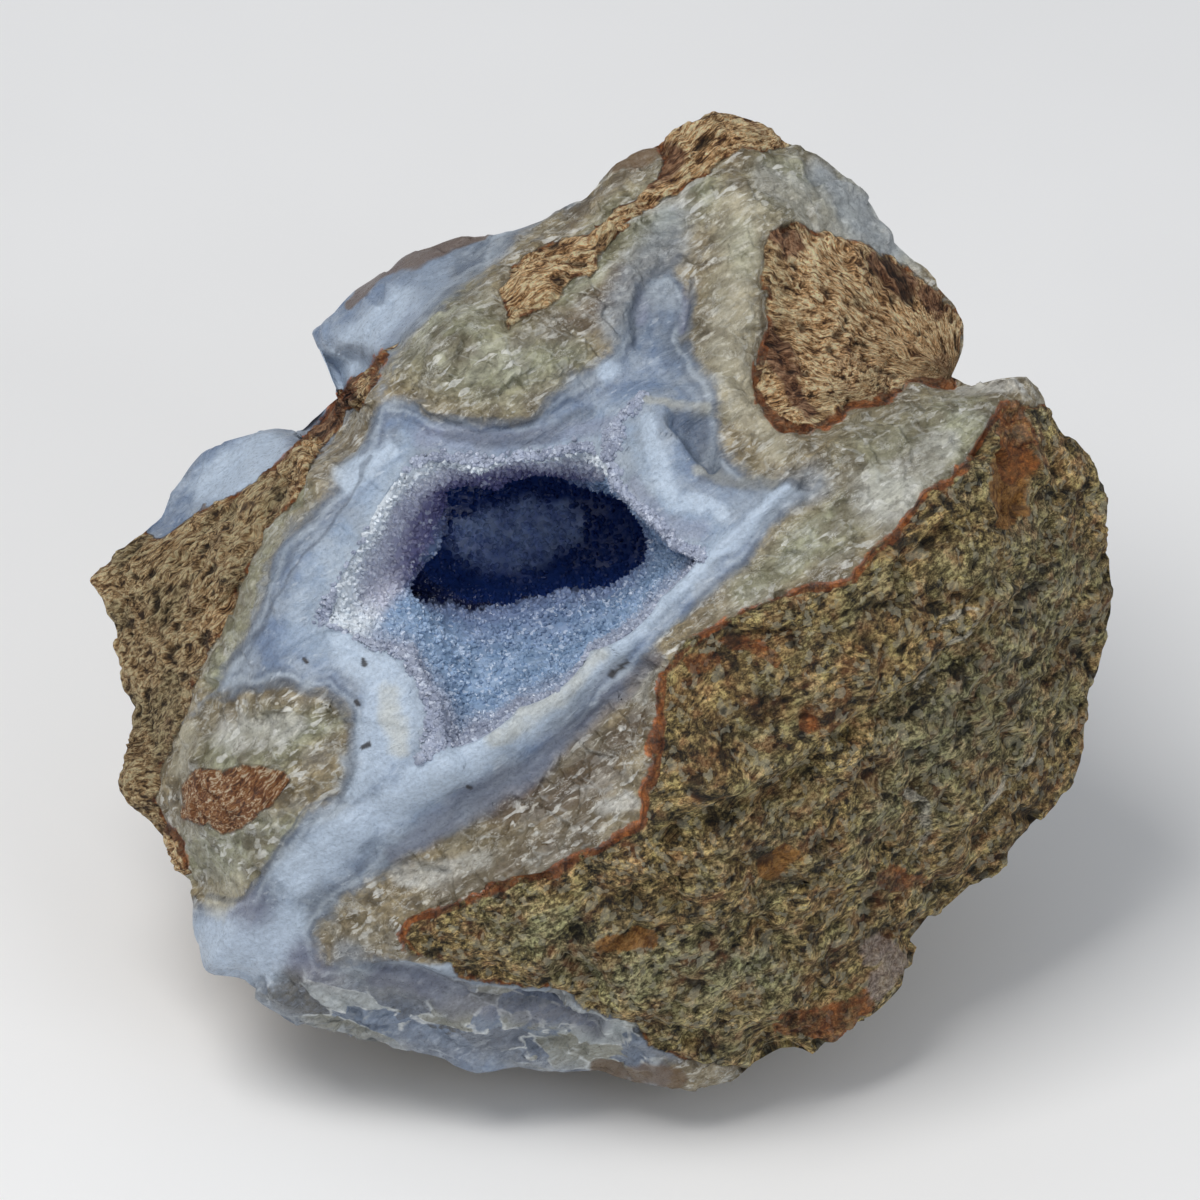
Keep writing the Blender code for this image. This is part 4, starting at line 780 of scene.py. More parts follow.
def rolled_sheet(angle, away, share, spots, side):
    """Points of the front (side 1) or the back (side -1) so far from the mouth's middle, and the directions
    out of them. Their w is the sheet's, rolled over where their share of the way to the outline nears one."""
    compass = np.column_stack([np.cos(angle), np.sin(angle)])
    x, y = (middle + (away * turn).ravel() for middle, turn in zip(SHEET_MIDDLE, compass.T))
    rim_w = np.tile(read_ring(OUTLINE, angle)[1], len(away))
    roll = np.sqrt(np.clip(1 - share**ROLL, 0, 1))
    face = np.column_stack([x, y, rim_w + (Sheet(spots)(x, y) - rim_w) * roll])
    flat = np.tile(compass, (len(away), 1)) * share[:, None]
    return face, np.column_stack([flat, side * np.sqrt(np.clip(1 - share**2, 0, 1))])


def roughen(face, outward, share, rock):
    """Moves points out by the coarse roughness, which gives way to the crumbled edge along the outline."""
    edge = share**ROLL
    lift = (1 - RIM_CALM * edge) * coarse_roughness(face, rock) + edge * crumbled_edge(face)
    face += outward * lift[:, None]


def carved(face, marks, settled, shape):
    """The points as a grid, moved along its normals by the fine relief, as far as they aren't settled."""
    normal = grid_normals(face.reshape(*shape, 3)).reshape(-1, 3)
    return (face + normal * (settled * fine_relief(face, marks))[:, None]).reshape(*shape, 3)


def in_grid(marks, shape):
    """The marks as grids."""
    return {name: mark.reshape(shape) for name, mark in marks.items()}


def make_front(columns, rows):
    """The broken face as rows of points from the mouth's rim out to the outline, with its marks. A point lies
    so far along the line from the rim to the outline."""
    shape = (rows, columns)
    angle = turns(columns)
    along = 1 - (1 - np.linspace(0, 1, rows)) ** RIM_ROWS
    inner, _ = read_ring(MOUTH, angle)
    reach, _ = read_ring(OUTLINE, angle)
    away = inner + along[:, None] * (reach - inner)
    share = (away / reach).ravel()
    spots = [spot for line in FRONT.values() for spot in line] + MOUTH + shifted(OUTLINE, RIM_DEPTH)
    face, outward = rolled_sheet(angle, away, share, spots, 1)
    rock = np.clip(0.5 + deepest(ROCKS, *face[:, :2].T) / EDGE_WIDTH, 0, 1)
    roughen(face, outward, share, rock)
    marks = front_marks(face)
    grid = carved(face, marks, smoothstep(np.repeat(along, columns), 0, 0.01), shape)
    for row in (0, -1):
        grid[row] = every_third_straight(grid[row])
    return angle, grid, in_grid(marks, shape)


def make_back(angle, front, front_marks_grid, rows):
    """The back as rows of points from the outline in to a pole behind the hollow, with its marks."""
    angle = angle[::COLUMNS_KEPT]
    shape = (rows, len(angle))
    inward = 1 - np.linspace(0, 1 - POLE_SIZE, rows)
    share_row = np.sin(inward * math.pi / 2) ** BACK_BULGE
    reach, rim_w = read_ring(OUTLINE, angle)
    share = np.repeat(share_row, len(angle))
    spots = BACK + shifted(OUTLINE, -RIM_DEPTH)
    face, outward = rolled_sheet(angle, share_row[:, None] * reach, share, spots, -1)
    x, y = face[:, :2].T.copy()
    rim_marks = {name: np.tile(mark[-1, ::COLUMNS_KEPT], rows) for name, mark in front_marks_grid.items()}
    walked = np.tile(reach, rows) * (1 - share) + np.abs(face[:, 2] - np.tile(rim_w, rows))
    uneven = 2.5 * lattice_noise(face, 6, 35) + lattice_noise(face, 2, 36)
    rim_depth = deepest(ROCKS, x[: len(angle)], y[: len(angle)])
    plain_rock = np.tile(np.clip(0.5 + rim_depth / EDGE_WIDTH, 0, 1), rows)
    roughen(face, outward, share, plain_rock + (1 - plain_rock) * smoothstep(1 - share, 0, 0.08))
    fade = 1 - smoothstep(walked, *ZONE_FADE)
    marks = {name: mark * fade for name, mark in rim_marks.items()}
    marks["rock"] = np.maximum(rim_marks["rock"], -BACK_AGATE) + walked + uneven * smoothstep(walked, 0, 4)
    left = smoothstep(-x + 0.6 * y + 8 * lattice_noise(face, 20, 37), *BROWN_EDGE)
    near_rim = 1 - smoothstep(walked, *KIND_FADE)
    marks["brown"] = rim_marks["brown"] * near_rim + left * (1 - near_rim)
    marks.update(fibre_places(face, np.zeros(len(face), bool)))
    marks["quartz"] = rim_marks["quartz"]
    grid = carved(face, marks, smoothstep(1 - share, 0, 0.02) * smoothstep(share, 0, 0.03), shape)
    grid[0] = front[-1, ::COLUMNS_KEPT]
    return grid, in_grid(marks, shape)


def hollow_rings(angle, rim):
    """The mouth's rim and each ring behind it, at these angles."""
    reach, rim_w = read_ring(MOUTH, angle)
    outward = np.column_stack([np.cos(angle), np.sin(angle), np.zeros(len(angle))])
    rings = [rim]
    for middle_x, middle_y, half_width, half_height, w, kept in HOLLOW_RINGS:
        ellipse = (middle_x, middle_y, w) + outward * (half_width, half_height, 0)
        shrink = RING_SHRINK * half_width / HOLLOW_RINGS[0][2]
        copy = (middle_x, middle_y, w) + outward * (reach * shrink)[:, None]
        ring = ellipse + kept * (copy - ellipse)
        ring[:, 2] = np.minimum(ring[:, 2], rim_w - RIM_LIP) if kept else w
        rings.append(ring)
    ledge = [(x, y, 0) for x, y in LEDGE]
    at = rings[LEDGE_RING]
    distance, _ = read_ring(ledge, angle, LEDGE_MIDDLE)
    at[:, :2] = np.array(LEDGE_MIDDLE) + outward[:, :2] * distance[:, None]
    return np.array(rings)


def make_hollow(angle, rim, rows):
    """The hollow's wall as rows from the rim to its deepest point, rounded between the rings by Catmull-Rom,
    and its marks."""
    rings = hollow_rings(angle, rim)
    last = len(rings) - 1
    along = np.linspace(0, last, rows)
    start = np.minimum(along.astype(int), last - 1)
    t = (along - start)[:, None, None]
    a, b, c, d = (rings[np.clip(start + step, 0, last)] for step in (-1, 0, 1, 2))
    grid = 0.5 * (2 * b + (c - a) * t + (2 * a - 5 * b + 4 * c - d) * t**2 + (3 * b - a - 3 * c + d) * t**3)
    normal = grid_normals(grid).reshape(-1, 3)
    face = grid.reshape(-1, 3)
    bumps = 0.7 * lattice_noise(face, 5, 51) + 0.25 * lattice_noise(face, 1.8, 52)
    settled = np.repeat(smoothstep(along, 0, 0.35) * smoothstep(last - along, 0, 0.3), len(angle))
    face = face + normal * (settled * bumps)[:, None]
    marks = {
        name: smoothstep(stroke_cover(strokes, *face[:, :2].T), -0.4, 0.6)
        for name, strokes in DRUSE_ZONES.items()
    }
    marks["ring"] = np.repeat(along, len(angle))
    shape = (rows, len(angle))
    return face.reshape(*shape, 3), in_grid(marks, shape)


@lru_cache
def whole_form(columns, front_rows, back_rows, hollow_rows):
    """The grids of the face, the back and the hollow with their marks, worked out once for all operators."""
    angle, front, front_marks = make_front(columns, front_rows)
    back, back_marks = make_back(angle, front, front_marks, back_rows)
    kept = slice(None, None, COLUMNS_KEPT)
    hollow, hollow_marks = make_hollow(angle[kept], front[0, kept], hollow_rows)
    return SimpleNamespace(
        front=front, front_marks=front_marks, back=back, back_marks=back_marks, hollow=hollow,
        hollow_marks=hollow_marks,
    )


def form_for(context):
    """The stone's form in the sizes that the panel shows."""
    sizes = context.scene.geode_sizes
    return whole_form(sizes.columns, sizes.front_rows, sizes.back_rows, sizes.hollow_rows)


def inner_rows(form):
    """How many steps between rows each of the face's rings has."""
    return (len(form.front) - 1) // len(FACE_RINGS)


def grid_corners(rows, columns):
    """Corner numbers of a closed band's quads, counter-clockwise seen from outside."""
    at = np.arange(rows * columns).reshape(rows, columns)
    right = np.roll(at, -1, axis=1)
    return np.stack([at[:-1], at[1:], right[1:], right[:-1]], axis=2).reshape(-1, 4)


def closed_mesh(name, grid, marks, inward=False):
    """A mesh of a grid whose last row is closed by triangles round a middle, facing outward or inward."""
    rows, columns = grid.shape[:2]
    points = np.vstack([grid.reshape(-1, 3), grid[-1].mean(axis=0)])
    normals = grid_normals(grid) * (-1 if inward else 1)
    pole = normals[-1].mean(axis=0)
    directions = np.vstack([normals.reshape(-1, 3), pole / np.linalg.norm(pole)])
    values = {mark: np.append(value.ravel(), value[-1].mean()) for mark, value in marks.items()}
    last = np.arange(columns) + (rows - 1) * columns
    fan = np.column_stack([last, np.full(columns, rows * columns), np.roll(last, -1)])
    faces = [grid_corners(rows, columns), fan]
    if inward:
        faces = [group[:, ::-1] for group in faces]
    return make_mesh(name, points, faces, values, directions)


def make_mesh(name, points, faces, marks, normals=None):
    """A mesh of these points in the face frame, with groups of equal-sided faces, a float attribute for each
    mark and, for a smooth surface, its normals."""
    mesh = bpy.data.meshes.new(name)
    mesh.vertices.add(len(points))
    mesh.vertices.foreach_set("co", to_world(points).astype(np.float32).ravel())
    sizes = np.concatenate([np.full(len(group), group.shape[1]) for group in faces])
    corners = np.concatenate([group.ravel() for group in faces])
    mesh.loops.add(len(corners))
    mesh.loops.foreach_set("vertex_index", corners.astype(np.int32))
    mesh.polygons.add(len(sizes))
    mesh.polygons.foreach_set("loop_start", (np.cumsum(sizes) - sizes).astype(np.int32))
    mesh.polygons.foreach_set("use_smooth", np.full(len(sizes), normals is not None))
    mesh.update(calc_edges=True)
    for mark, values in marks.items():
        attribute = mesh.attributes.new(mark, "FLOAT", "POINT")
        attribute.data.foreach_set("value", values.astype(np.float32).ravel())
    if normals is not None:
        mesh.normals_split_custom_set_from_vertices(leaned(normals))
    return mesh


def placed(name, data):
    """A new object in the scene."""
    thing = bpy.data.objects.new(name, data)
    bpy.context.scene.collection.objects.link(thing)
    return thing


def finish_piece(mesh, kind, context):
    """Adds the mesh to the scene as a piece of this kind, whose material is made the first time."""
    material, maker, node, slot = kind
    piece = placed(mesh.name, mesh)
    mesh.materials.append(bpy.data.materials.get(material) or maker(context.scene.geode_colours))
    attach(piece, "root")
    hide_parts(node)


def linear(red, green, blue):
    """A colour given as it looks on screen, as the light values that a shader takes."""
    return tuple(c / 12.92 if c <= 0.04045 else ((c + 0.055) / 1.055) ** 2.4 for c in (red, green, blue))


def math_operator(operation, reflected=False):
    """A method of a wire that adds one Math node; a reflected one swaps its two values."""

    def method(self, *other):
        return self.math(operation, *((*other, self) if reflected else (self, *other)))

    return method


class Wire:
    """A node's output that takes part in arithmetic: each operator adds one Math node."""

    def __init__(self, tree, socket):
        self.tree = tree
        self.socket = socket

    def math(self, operation, *values):
        node = self.tree.nodes.new("ShaderNodeMath")
        node.operation = operation
        for entry, value in zip(node.inputs, values):
            plug(self.tree, entry, value)
        return Wire(self.tree, node.outputs[0])

    __add__ = math_operator("ADD")
    __radd__ = math_operator("ADD", reflected=True)
    __sub__ = math_operator("SUBTRACT")
    __rsub__ = math_operator("SUBTRACT", reflected=True)
    __mul__ = math_operator("MULTIPLY")
    __rmul__ = math_operator("MULTIPLY", reflected=True)
    __abs__ = math_operator("ABSOLUTE")
    at_most = math_operator("MINIMUM")
    at_least = math_operator("MAXIMUM")


def plug(tree, entry, value):
    """Links a wire to a node's input, or sets the input to a value."""
    if isinstance(value, Wire):
        tree.links.new(value.socket, entry)
    elif entry.type == "RGBA":
        entry.default_value = (*value[:3], 1)
    else:
        entry.default_value = value


class Finish:
    """A material that is being put together: every node comes from add(). A colour given as a tuple is as it
    looks on screen; a list, or a colour of the panel, gives light values."""

    def __init__(self, name):
        self.material = bpy.data.materials.new(name)
        self.material.use_nodes = True
        self.tree = self.material.node_tree
        self.shader = self.tree.nodes["Principled BSDF"]
        place = self.add("ShaderNodeTexCoord", output="Object")
        turn = (FACE_RISE - math.radians(90), 0, 0)
        self.face = self.add("ShaderNodeMapping", {"Vector": place, "Rotation": turn, "Scale": (1 / MM,) * 3})

    def add(self, kind, inputs=None, output=0, **settings):
        """One node of a kind, with its settings and then its inputs; returns one of its outputs."""
        node = self.tree.nodes.new(kind)
        for key, value in settings.items():
            setattr(node, key, value)
        for key, value in (inputs or {}).items():
            plug(self.tree, node.inputs[key], value)
        return Wire(self.tree, node.outputs[output])

    def mark(self, name):
        """A vertex attribute of the piece."""
        return self.add("ShaderNodeAttribute", output="Fac", attribute_name=name)

    def stretched(self, scale, vector=None):
        """The face frame's millimetres, scaled along each axis."""
        return self.add("ShaderNodeVectorMath", {0: vector or self.face, 1: scale}, operation="MULTIPLY")

    def turned(self, angle):
        """The face frame's millimetres, turned about w."""
        inputs = {"Vector": self.face, "Angle": angle}
        return self.add("ShaderNodeVectorRotate", inputs, rotation_type="Z_AXIS")

    def warped(self, vector, size, amount):
        """A place pushed about by noise with lumps of this size, by up to half this amount."""
        cloud = self.add("ShaderNodeTexNoise", {"Vector": vector, "Scale": 1 / size, "Detail": 2}, "Color")
        inputs = {0: cloud, 1: (amount,) * 3, 2: vector}
        return self.add("ShaderNodeVectorMath", inputs, operation="MULTIPLY_ADD")

    def noise(self, size, detail=4, rough=0.55, vector=None, bend=0):
        """Fractal noise from 0 to 1 with lumps of this size in millimetres."""
        inputs = {"Vector": vector or self.face, "Scale": 1 / size, "Detail": detail}
        return self.add("ShaderNodeTexNoise", {**inputs, "Roughness": rough, "Distortion": bend})

    def flakes(self, size, vector=None, output="Color", **settings):
        """One random grey from 0 to 1 for each Voronoi cell of this size in millimetres."""
        inputs = {"Vector": vector or self.face, "Scale": 1 / size}
        return self.add("ShaderNodeTexVoronoi", inputs, output, **settings)

    def step(self, value, low, high):
        """0 below low, 1 above high and smooth between them."""
        inputs = {"Value": value, "From Min": low, "From Max": high}
        return self.add("ShaderNodeMapRange", inputs, interpolation_type="SMOOTHSTEP")

    def zone(self, name, wander, low, high):
        """1 inside a zone that the piece is marked with and 0 outside it, with an edge that wanders."""
        return self.step(self.mark(name) + wander, low, high)

    def near(self, value, centre, width):
        """1 where the value is at the centre, falling to 0 at this width from it."""
        return 1 - self.step(abs(value - centre), 0, width)

    def blend(self, share, a, b, kind="MIX"):
        """One colour passing into another."""
        a, b = (linear(*colour) if isinstance(colour, tuple) else colour for colour in (a, b))
        return self.add("ShaderNodeMix", {0: share, 6: a, 7: b}, 2, data_type="RGBA", blend_type=kind)

    def layers(self, colour, *rows):
        """A colour with others laid over it in turn, each given as its share and itself."""
        for share, over in rows:
            colour = self.blend(share, colour, over)
        return colour

    def tones(self, value, low, high, *colours):
        """Colours passing one into the next at even steps between two values."""
        result = colours[0]
        count = len(colours) - 1
        for number, colour in enumerate(colours[1:]):
            start = low + (high - low) * number / count
            result = self.blend(self.step(value, start, start + (high - low) / count), result, colour)
        return result

    def shaded(self, colour, share, value, low, high, *tints):
        """A colour multiplied by tints, or greys, that pass one into the next."""
        tints = [tint if isinstance(tint, list) else [tint] * 3 for tint in tints]
        return self.blend(share, colour, self.tones(value, low, high, *tints), "MULTIPLY")

    def bump(self, height):
        """A normal from heights in millimetres."""
        return self.add("ShaderNodeBump", {"Height": height, "Distance": MM, "Strength": 1})

    def set(self, **inputs):
        """Sets or links the shader's own sockets, named with underscores for spaces."""
        for key, value in inputs.items():
            plug(self.tree, self.shader.inputs[key.replace("_", " ")], value)
        return self.material


def quartz_colour(f, look, clouds, slant):
    """Clear to milky quartz: beige or grey green, smoky in places, with flakes and cracks, white flecks that
    are partly its own specks and partly painted highlights, and white edges that are painted highlights.
    """
    drift = clouds - 0.5
    place = f.warped(slant, 1.2, 1.4)
    chip = f.flakes(1.9, place)
    splinter = f.flakes(0.6, f.stretched((0.6, 1, 0.8), place))
    broken = f.step(f.noise(3.2, 4, 0.6), 0.46, 0.6)
    streaks = f.noise(0.9, 5, 0.7, slant, 0.5)
    beige = f.tones(clouds, 0.32, 0.68, (0.38, 0.33, 0.24), look.quartz)
    green = f.tones(clouds, 0.32, 0.68, (0.42, 0.42, 0.32), (0.69, 0.69, 0.58))
    # partly the quartz's own white specks, partly painted highlights on the chips
    specks_and_glints = f.step(splinter + 0.5 * drift, 0.7, 0.76)
    calm = 1 - 0.5 * f.mark("green")
    cracks = f.near(streaks, 0.5, 0.02) * f.step(f.noise(3, 2), 0.5, 0.62)
    plane = f.warped(f.stretched((0.5, 1, 1), f.turned(0.35)), 3, 2)
    shards = f.tones(0.75 * f.flakes(3.6, plane) + 0.25 * streaks, 0.22, 0.74, (0.25, 0.24, 0.19),
                     (0.36, 0.41, 0.49), (0.45, 0.52, 0.62), (0.56, 0.56, 0.5), (0.68, 0.71, 0.72))
    seams = f.flakes(3.6, plane, 0, feature="DISTANCE_TO_EDGE")
    # painted highlights along the chips' edges, stronger on the shards
    edges = (1 - f.step(seams, 0, 0.06)) * f.step(f.noise(2, 3), 0.46, 0.56)
    colour = f.layers(
        f.blend(f.mark("green"), beige, green),
        (f.step(f.noise(5.5, 4), 0.48, 0.64) * 0.6, (0.36, 0.31, 0.23)),
        (f.mark("brownish") * 0.75, (0.33, 0.26, 0.19)),
        (f.zone("milk", 0.8 * drift, 0.1, 0.9) * 0.6, (0.78, 0.78, 0.76)),
        ((1 - f.step(chip, 0.24, 0.44)) * 0.28, (0.27, 0.25, 0.21)),
        (f.step(chip, 0.56, 0.76) * 0.16, (0.8, 0.8, 0.77)),
        (specks_and_glints * (0.12 + 0.5 * broken), (0.88, 0.88, 0.86)),
        ((1 - f.step(splinter, 0.22, 0.32)) * 0.22, (0.24, 0.22, 0.18)),
        (f.step(f.noise(9, 3), 0.46, 0.6) * 0.4, (0.44, 0.41, 0.32)),
        (f.step(streaks, 0.55, 0.66) * 0.5 * calm, (0.88, 0.87, 0.83)),
        ((1 - f.step(streaks, 0.34, 0.45)) * 0.45 * calm, (0.29, 0.26, 0.2)),
        (cracks * 0.6, (0.9, 0.9, 0.88)),
        (f.mark("shards") * 0.8, shards),
        (edges * (0.2 + 0.7 * f.mark("shards")), (0.86, 0.87, 0.86)),
    )
    return colour, streaks


def blue_colour(f, look, clouds, slant):
    """Blue agate, grown inwards from the quartz: slate lines along it, then blue, paler to the crystals."""
    drift = clouds - 0.5
    wander = 0.9 * drift + 1.6 * (f.noise(8, 3) - 0.5)
    growth = f.mark("growth") + 0.14 * wander
    away = -1 * f.mark("quartz") + wander
    lines = (f.near(away, 0.5, 0.7) + 0.7 * f.near(away, 2, 0.6) + 0.4 * f.near(away, 3.4, 0.5)).at_most(1)
    sheen = f.noise(0.9, 4, 0.6, slant)
    return f.layers(
        f.tones(growth, 0, 0.9, (0.42, 0.46, 0.51), look.blue, (0.58, 0.65, 0.74), (0.63, 0.69, 0.76)),
        (f.step(f.noise(5, 5, 0.65), 0.4, 0.66) * 0.55, (0.72, 0.76, 0.8)),
        (f.step(f.noise(3.6, 5, 0.65, slant), 0.48, 0.66) * 0.45, (0.43, 0.49, 0.57)),
        (f.step(f.noise(7.5, 3), 0.5, 0.62) * 0.35, (0.58, 0.6, 0.62)),
        (lines * f.step(f.noise(4, 2), 0.32, 0.56) * 0.6, (0.31, 0.35, 0.42)),
        (f.near(away, 1.3, 0.5) * 0.25, (0.76, 0.8, 0.84)),
        # mauve: a lavender tone, and along the channel's grooves painted shadow lines
        (f.zone("mauve", 0.6 * drift, 0.1, 1.1) * 0.4, (0.5, 0.5, 0.6)),
        (f.step(sheen, 0.6, 0.7) * 0.3, (0.86, 0.89, 0.92)),
        ((1 - f.step(sheen, 0.3, 0.4)) * 0.25, (0.36, 0.41, 0.5)),
    )


def basalt_colour(f, look, clouds, lie, tone):
    """Basalt: olive, with tan, cool, warm and stained patches and pale crumbs."""
    drift = clouds - 0.5
    flat = f.stretched((0.5, 1, 1), lie)
    cool = f.step(f.noise(6.5, 4, 0.6, flat), 0.46, 0.6)
    cool = (0.4 * cool + 0.5 * f.zone("green rock", 0.9 * drift, 0.1, 1)).at_most(0.8)
    crumbs = f.step(f.flakes(0.8, f.warped(lie, 0.8, 0.8)) + 0.4 * drift, 0.7, 0.76)
    colour = f.layers(
        f.tones(tone, 0.42, 0.59, (0.09, 0.07, 0.035), (0.36, 0.3, 0.18), look.basalt, (0.88, 0.78, 0.54)),
        (f.zone("tan", 0.9 * drift, 0.1, 1) * 0.6,
         f.tones(tone, 0.42, 0.58, (0.15, 0.11, 0.05), (0.46, 0.37, 0.22), (0.76, 0.66, 0.44))),
        (cool, f.tones(tone, 0.42, 0.58, (0.12, 0.11, 0.06), (0.41, 0.39, 0.26), (0.76, 0.75, 0.58))),
        (f.step(f.noise(4.4, 4, 0.6), 0.5, 0.62) * 0.55,
         f.tones(tone, 0.42, 0.58, (0.22, 0.13, 0.06), (0.44, 0.31, 0.16), (0.66, 0.52, 0.33))),
    )
    colour = f.shaded(colour, 0.6, f.noise(2.6, 4), 0.38, 0.62, [0.84, 0.94, 0.84], 1, [1.2, 1, 1.06])
    patches = f.noise(4.5, 5, 0.65, f.stretched((0.6, 1, 1), lie))
    return f.layers(
        f.shaded(colour, 0.9, patches, 0.36, 0.62, 0.62, 1, 1.3),
        (f.step(f.noise(2.6, 5, 0.65), 0.57, 0.66) * 0.55, (0.42, 0.23, 0.1)),
        (crumbs * 0.45, (0.74, 0.72, 0.62)),
    )


def brown_colour(f, look, clouds, fibre):
    """Brown fibrous rock with bright wavy fibres, olive and red in places."""
    olive = (0.4 * f.step(f.noise(9, 3), 0.5, 0.6) + 0.55 * f.step(f.mark("olive"), 0, 1)).at_most(0.8)
    red = f.zone("red", 1.2 * (clouds - 0.5), 0.35, 1) + 0.4 * f.step(f.noise(4, 4, 0.6), 0.58, 0.68)
    return f.layers(
        f.tones(fibre, 0.41, 0.58, (0.26, 0.14, 0.06), (0.58, 0.42, 0.25), look.brown, (1, 0.92, 0.74)),
        (olive, f.tones(fibre, 0.42, 0.58, (0.17, 0.14, 0.08), (0.44, 0.39, 0.27), (0.72, 0.66, 0.5))),
        (red.at_most(0.8),
         f.tones(fibre, 0.42, 0.6, (0.17, 0.07, 0.04), (0.38, 0.19, 0.11), (0.62, 0.4, 0.27))),
    )


def rock_colour(f, look, clouds):
    """Host rock: basalt with streaks and pits, and brown rock, with ochre, rust, pink and pale zones, painted
    light on its ridges and painted shade in its grooves and pits.
    """
    lie = f.add("ShaderNodeCombineXYZ", {"X": f.mark("along"), "Y": f.mark("across"), "Z": f.mark("into")})
    high = f.mark("high")
    grain = f.noise(0.6, 6, 0.8)
    streaks = f.noise(0.55, 5, 0.75, f.stretched((0.4, 1, 0.8), lie), 0.5)
    # tone and fibre take a little of high: painted light on the ridges and painted shade in the grooves
    tone = 0.5 * grain + 0.5 * streaks + 0.09 * high
    wavy = f.noise(0.42, 5, 0.7, f.stretched((0.26, 1, 0.6), lie), 0.9)
    fibre = 0.75 * wavy + 0.25 * grain + 0.07 * high
    basalt = basalt_colour(f, look, clouds, lie, tone)
    spotty = 1.3 * (clouds - 0.5) + 0.8 * (grain - 0.5)
    mixed = 0.5 * grain + 0.5 * clouds
    rust = f.tones(mixed, 0.42, 0.6, (0.26, 0.12, 0.05), (0.5, 0.27, 0.12), look.rust)
    colour = f.layers(
        f.blend(f.mark("brown"), basalt, brown_colour(f, look, clouds, fibre)),
        (f.zone("ochre", spotty, 0.35, 0.62) * 0.85,
         f.tones(tone, 0.42, 0.58, (0.42, 0.25, 0.08), (0.66, 0.45, 0.19))),
        (f.zone("rust", spotty, 0.35, 0.62) * 0.65, rust),
        (f.zone("pinkish", spotty, 0.3, 0.8) * 0.8,
         f.tones(grain, 0.4, 0.6, (0.5, 0.42, 0.37), (0.76, 0.7, 0.66))),
        (f.zone("vein", 1.4 * spotty, 0.4, 1) * 0.7,
         f.tones(tone, 0.4, 0.58, (0.36, 0.34, 0.27), (0.88, 0.86, 0.8))),
        # dark pits: painted shade in the holes
        (f.step(f.mark("holes"), 0.15, 0.8) * 0.65, (0.07, 0.055, 0.03)),
    )
    grit = f.noise(0.3, 4, 0.8, f.stretched((0.5, 1, 1), lie))
    return f.shaded(colour, 0.5, grit, 0.4, 0.6, 0.5, 0.97, 1.6), rust, fibre, tone


def stone_finish(look):
    """Agate, quartz and host rock in one: the marks say which shows, and noise breaks up their edges."""
    f = Finish("agate_and_rock")
    fine = f.noise(0.45, 4, 0.65)
    clouds = f.noise(2.2, 5, 0.6)
    slant = f.stretched((0.42, 1.25, 1), f.turned(-0.6))
    quartz, streaks = quartz_colour(f, look, clouds, slant)
    blue = blue_colour(f, look, clouds, slant)
    rock, rust, fibre, tone = rock_colour(f, look, clouds)
    drift = clouds - 0.5
    fine_drift = 0.6 * (fine - 0.5)

    edge = f.mark("quartz") + 2.2 * drift + fine_drift - 1.2 * f.mark("sky")
    agate = f.layers(
        f.blend(f.step(edge, -1, 0.8), blue, quartz),
        (f.zone("sky", 0.8 * drift, 0.2, 0.9) * 0.6, (0.6, 0.66, 0.74)),
        (f.zone("haze", 1.1 * drift, 0, 1.3) * 0.55, (0.58, 0.63, 0.69)),
        (f.mark("shards") * 0.85, quartz),
        (f.zone("white", 0.9 * drift, 0.1, 1) * 0.8, (0.74, 0.8, 0.87)),
        (f.zone("cream", 1.3 * drift, 0.2, 1.2) * 0.45, (0.78, 0.76, 0.67)),
        (f.zone("shade", 0.9 * drift, 0.1, 1.1) * 0.5, (0.37, 0.38, 0.46)),
        # dark slate lines of the agate; in the recess partly painted shade
        (f.zone("line", 0.5 * drift, 0.1, 1) * 0.5, (0.28, 0.32, 0.38)),
        (f.zone("druse", 0.5 * drift, 0.3, 1) * 0.55,
         f.tones(f.flakes(0.6), 0.25, 0.75, (0.56, 0.6, 0.68), (0.74, 0.78, 0.83))),
    )
    agate = f.layers(
        f.shaded(agate, 0.35, 0.6 * fine + 0.4 * streaks, 0.36, 0.64, 0.55, 1.35),
        (f.zone("umber", 0.9 * drift, 0.2, 0.8) * 0.75, (0.4, 0.3, 0.19)),
        (f.mark("specks") * 0.9, (0.13, 0.11, 0.1)),
    )

    depth = f.mark("rock")
    inside = f.step(depth + 0.9 * drift + 0.5 * (fine - 0.5), -0.12, 0.18)
    rusty = f.mark("rusty")
    rim = 1 - f.step(abs(depth - 0.2 + 1.3 * drift) - (0.02 + 0.4 * rusty), 0, 0.3)
    share = rim * f.step(f.noise(2.6, 4, 0.65) + 0.14 * rusty, 0.47, 0.62)
    core = f.step(f.mark("core") + drift + fine_drift, 0.25, 0.75)
    flecked = f.tones(fibre, 0.42, 0.6, (0.3, 0.15, 0.06), (0.56, 0.32, 0.15), (0.74, 0.52, 0.31),
                      (0.96, 0.88, 0.76))
    colour = f.layers(agate, (inside, rock), (share.at_most(0.85), rust), (core * 0.92, flecked))

    stony = inside.at_least(core)
    rough = 0.3 + 0.55 * stony + 0.25 * (fine - 0.5)
    bumpy = 1.3 * tone + 0.9 * fibre * f.mark("brown")
    relief = stony * bumpy + (1 - stony) * (0.3 * streaks + 0.14 * fine)
    return f.set(Base_Color=colour, Roughness=rough, Normal=f.bump(relief))


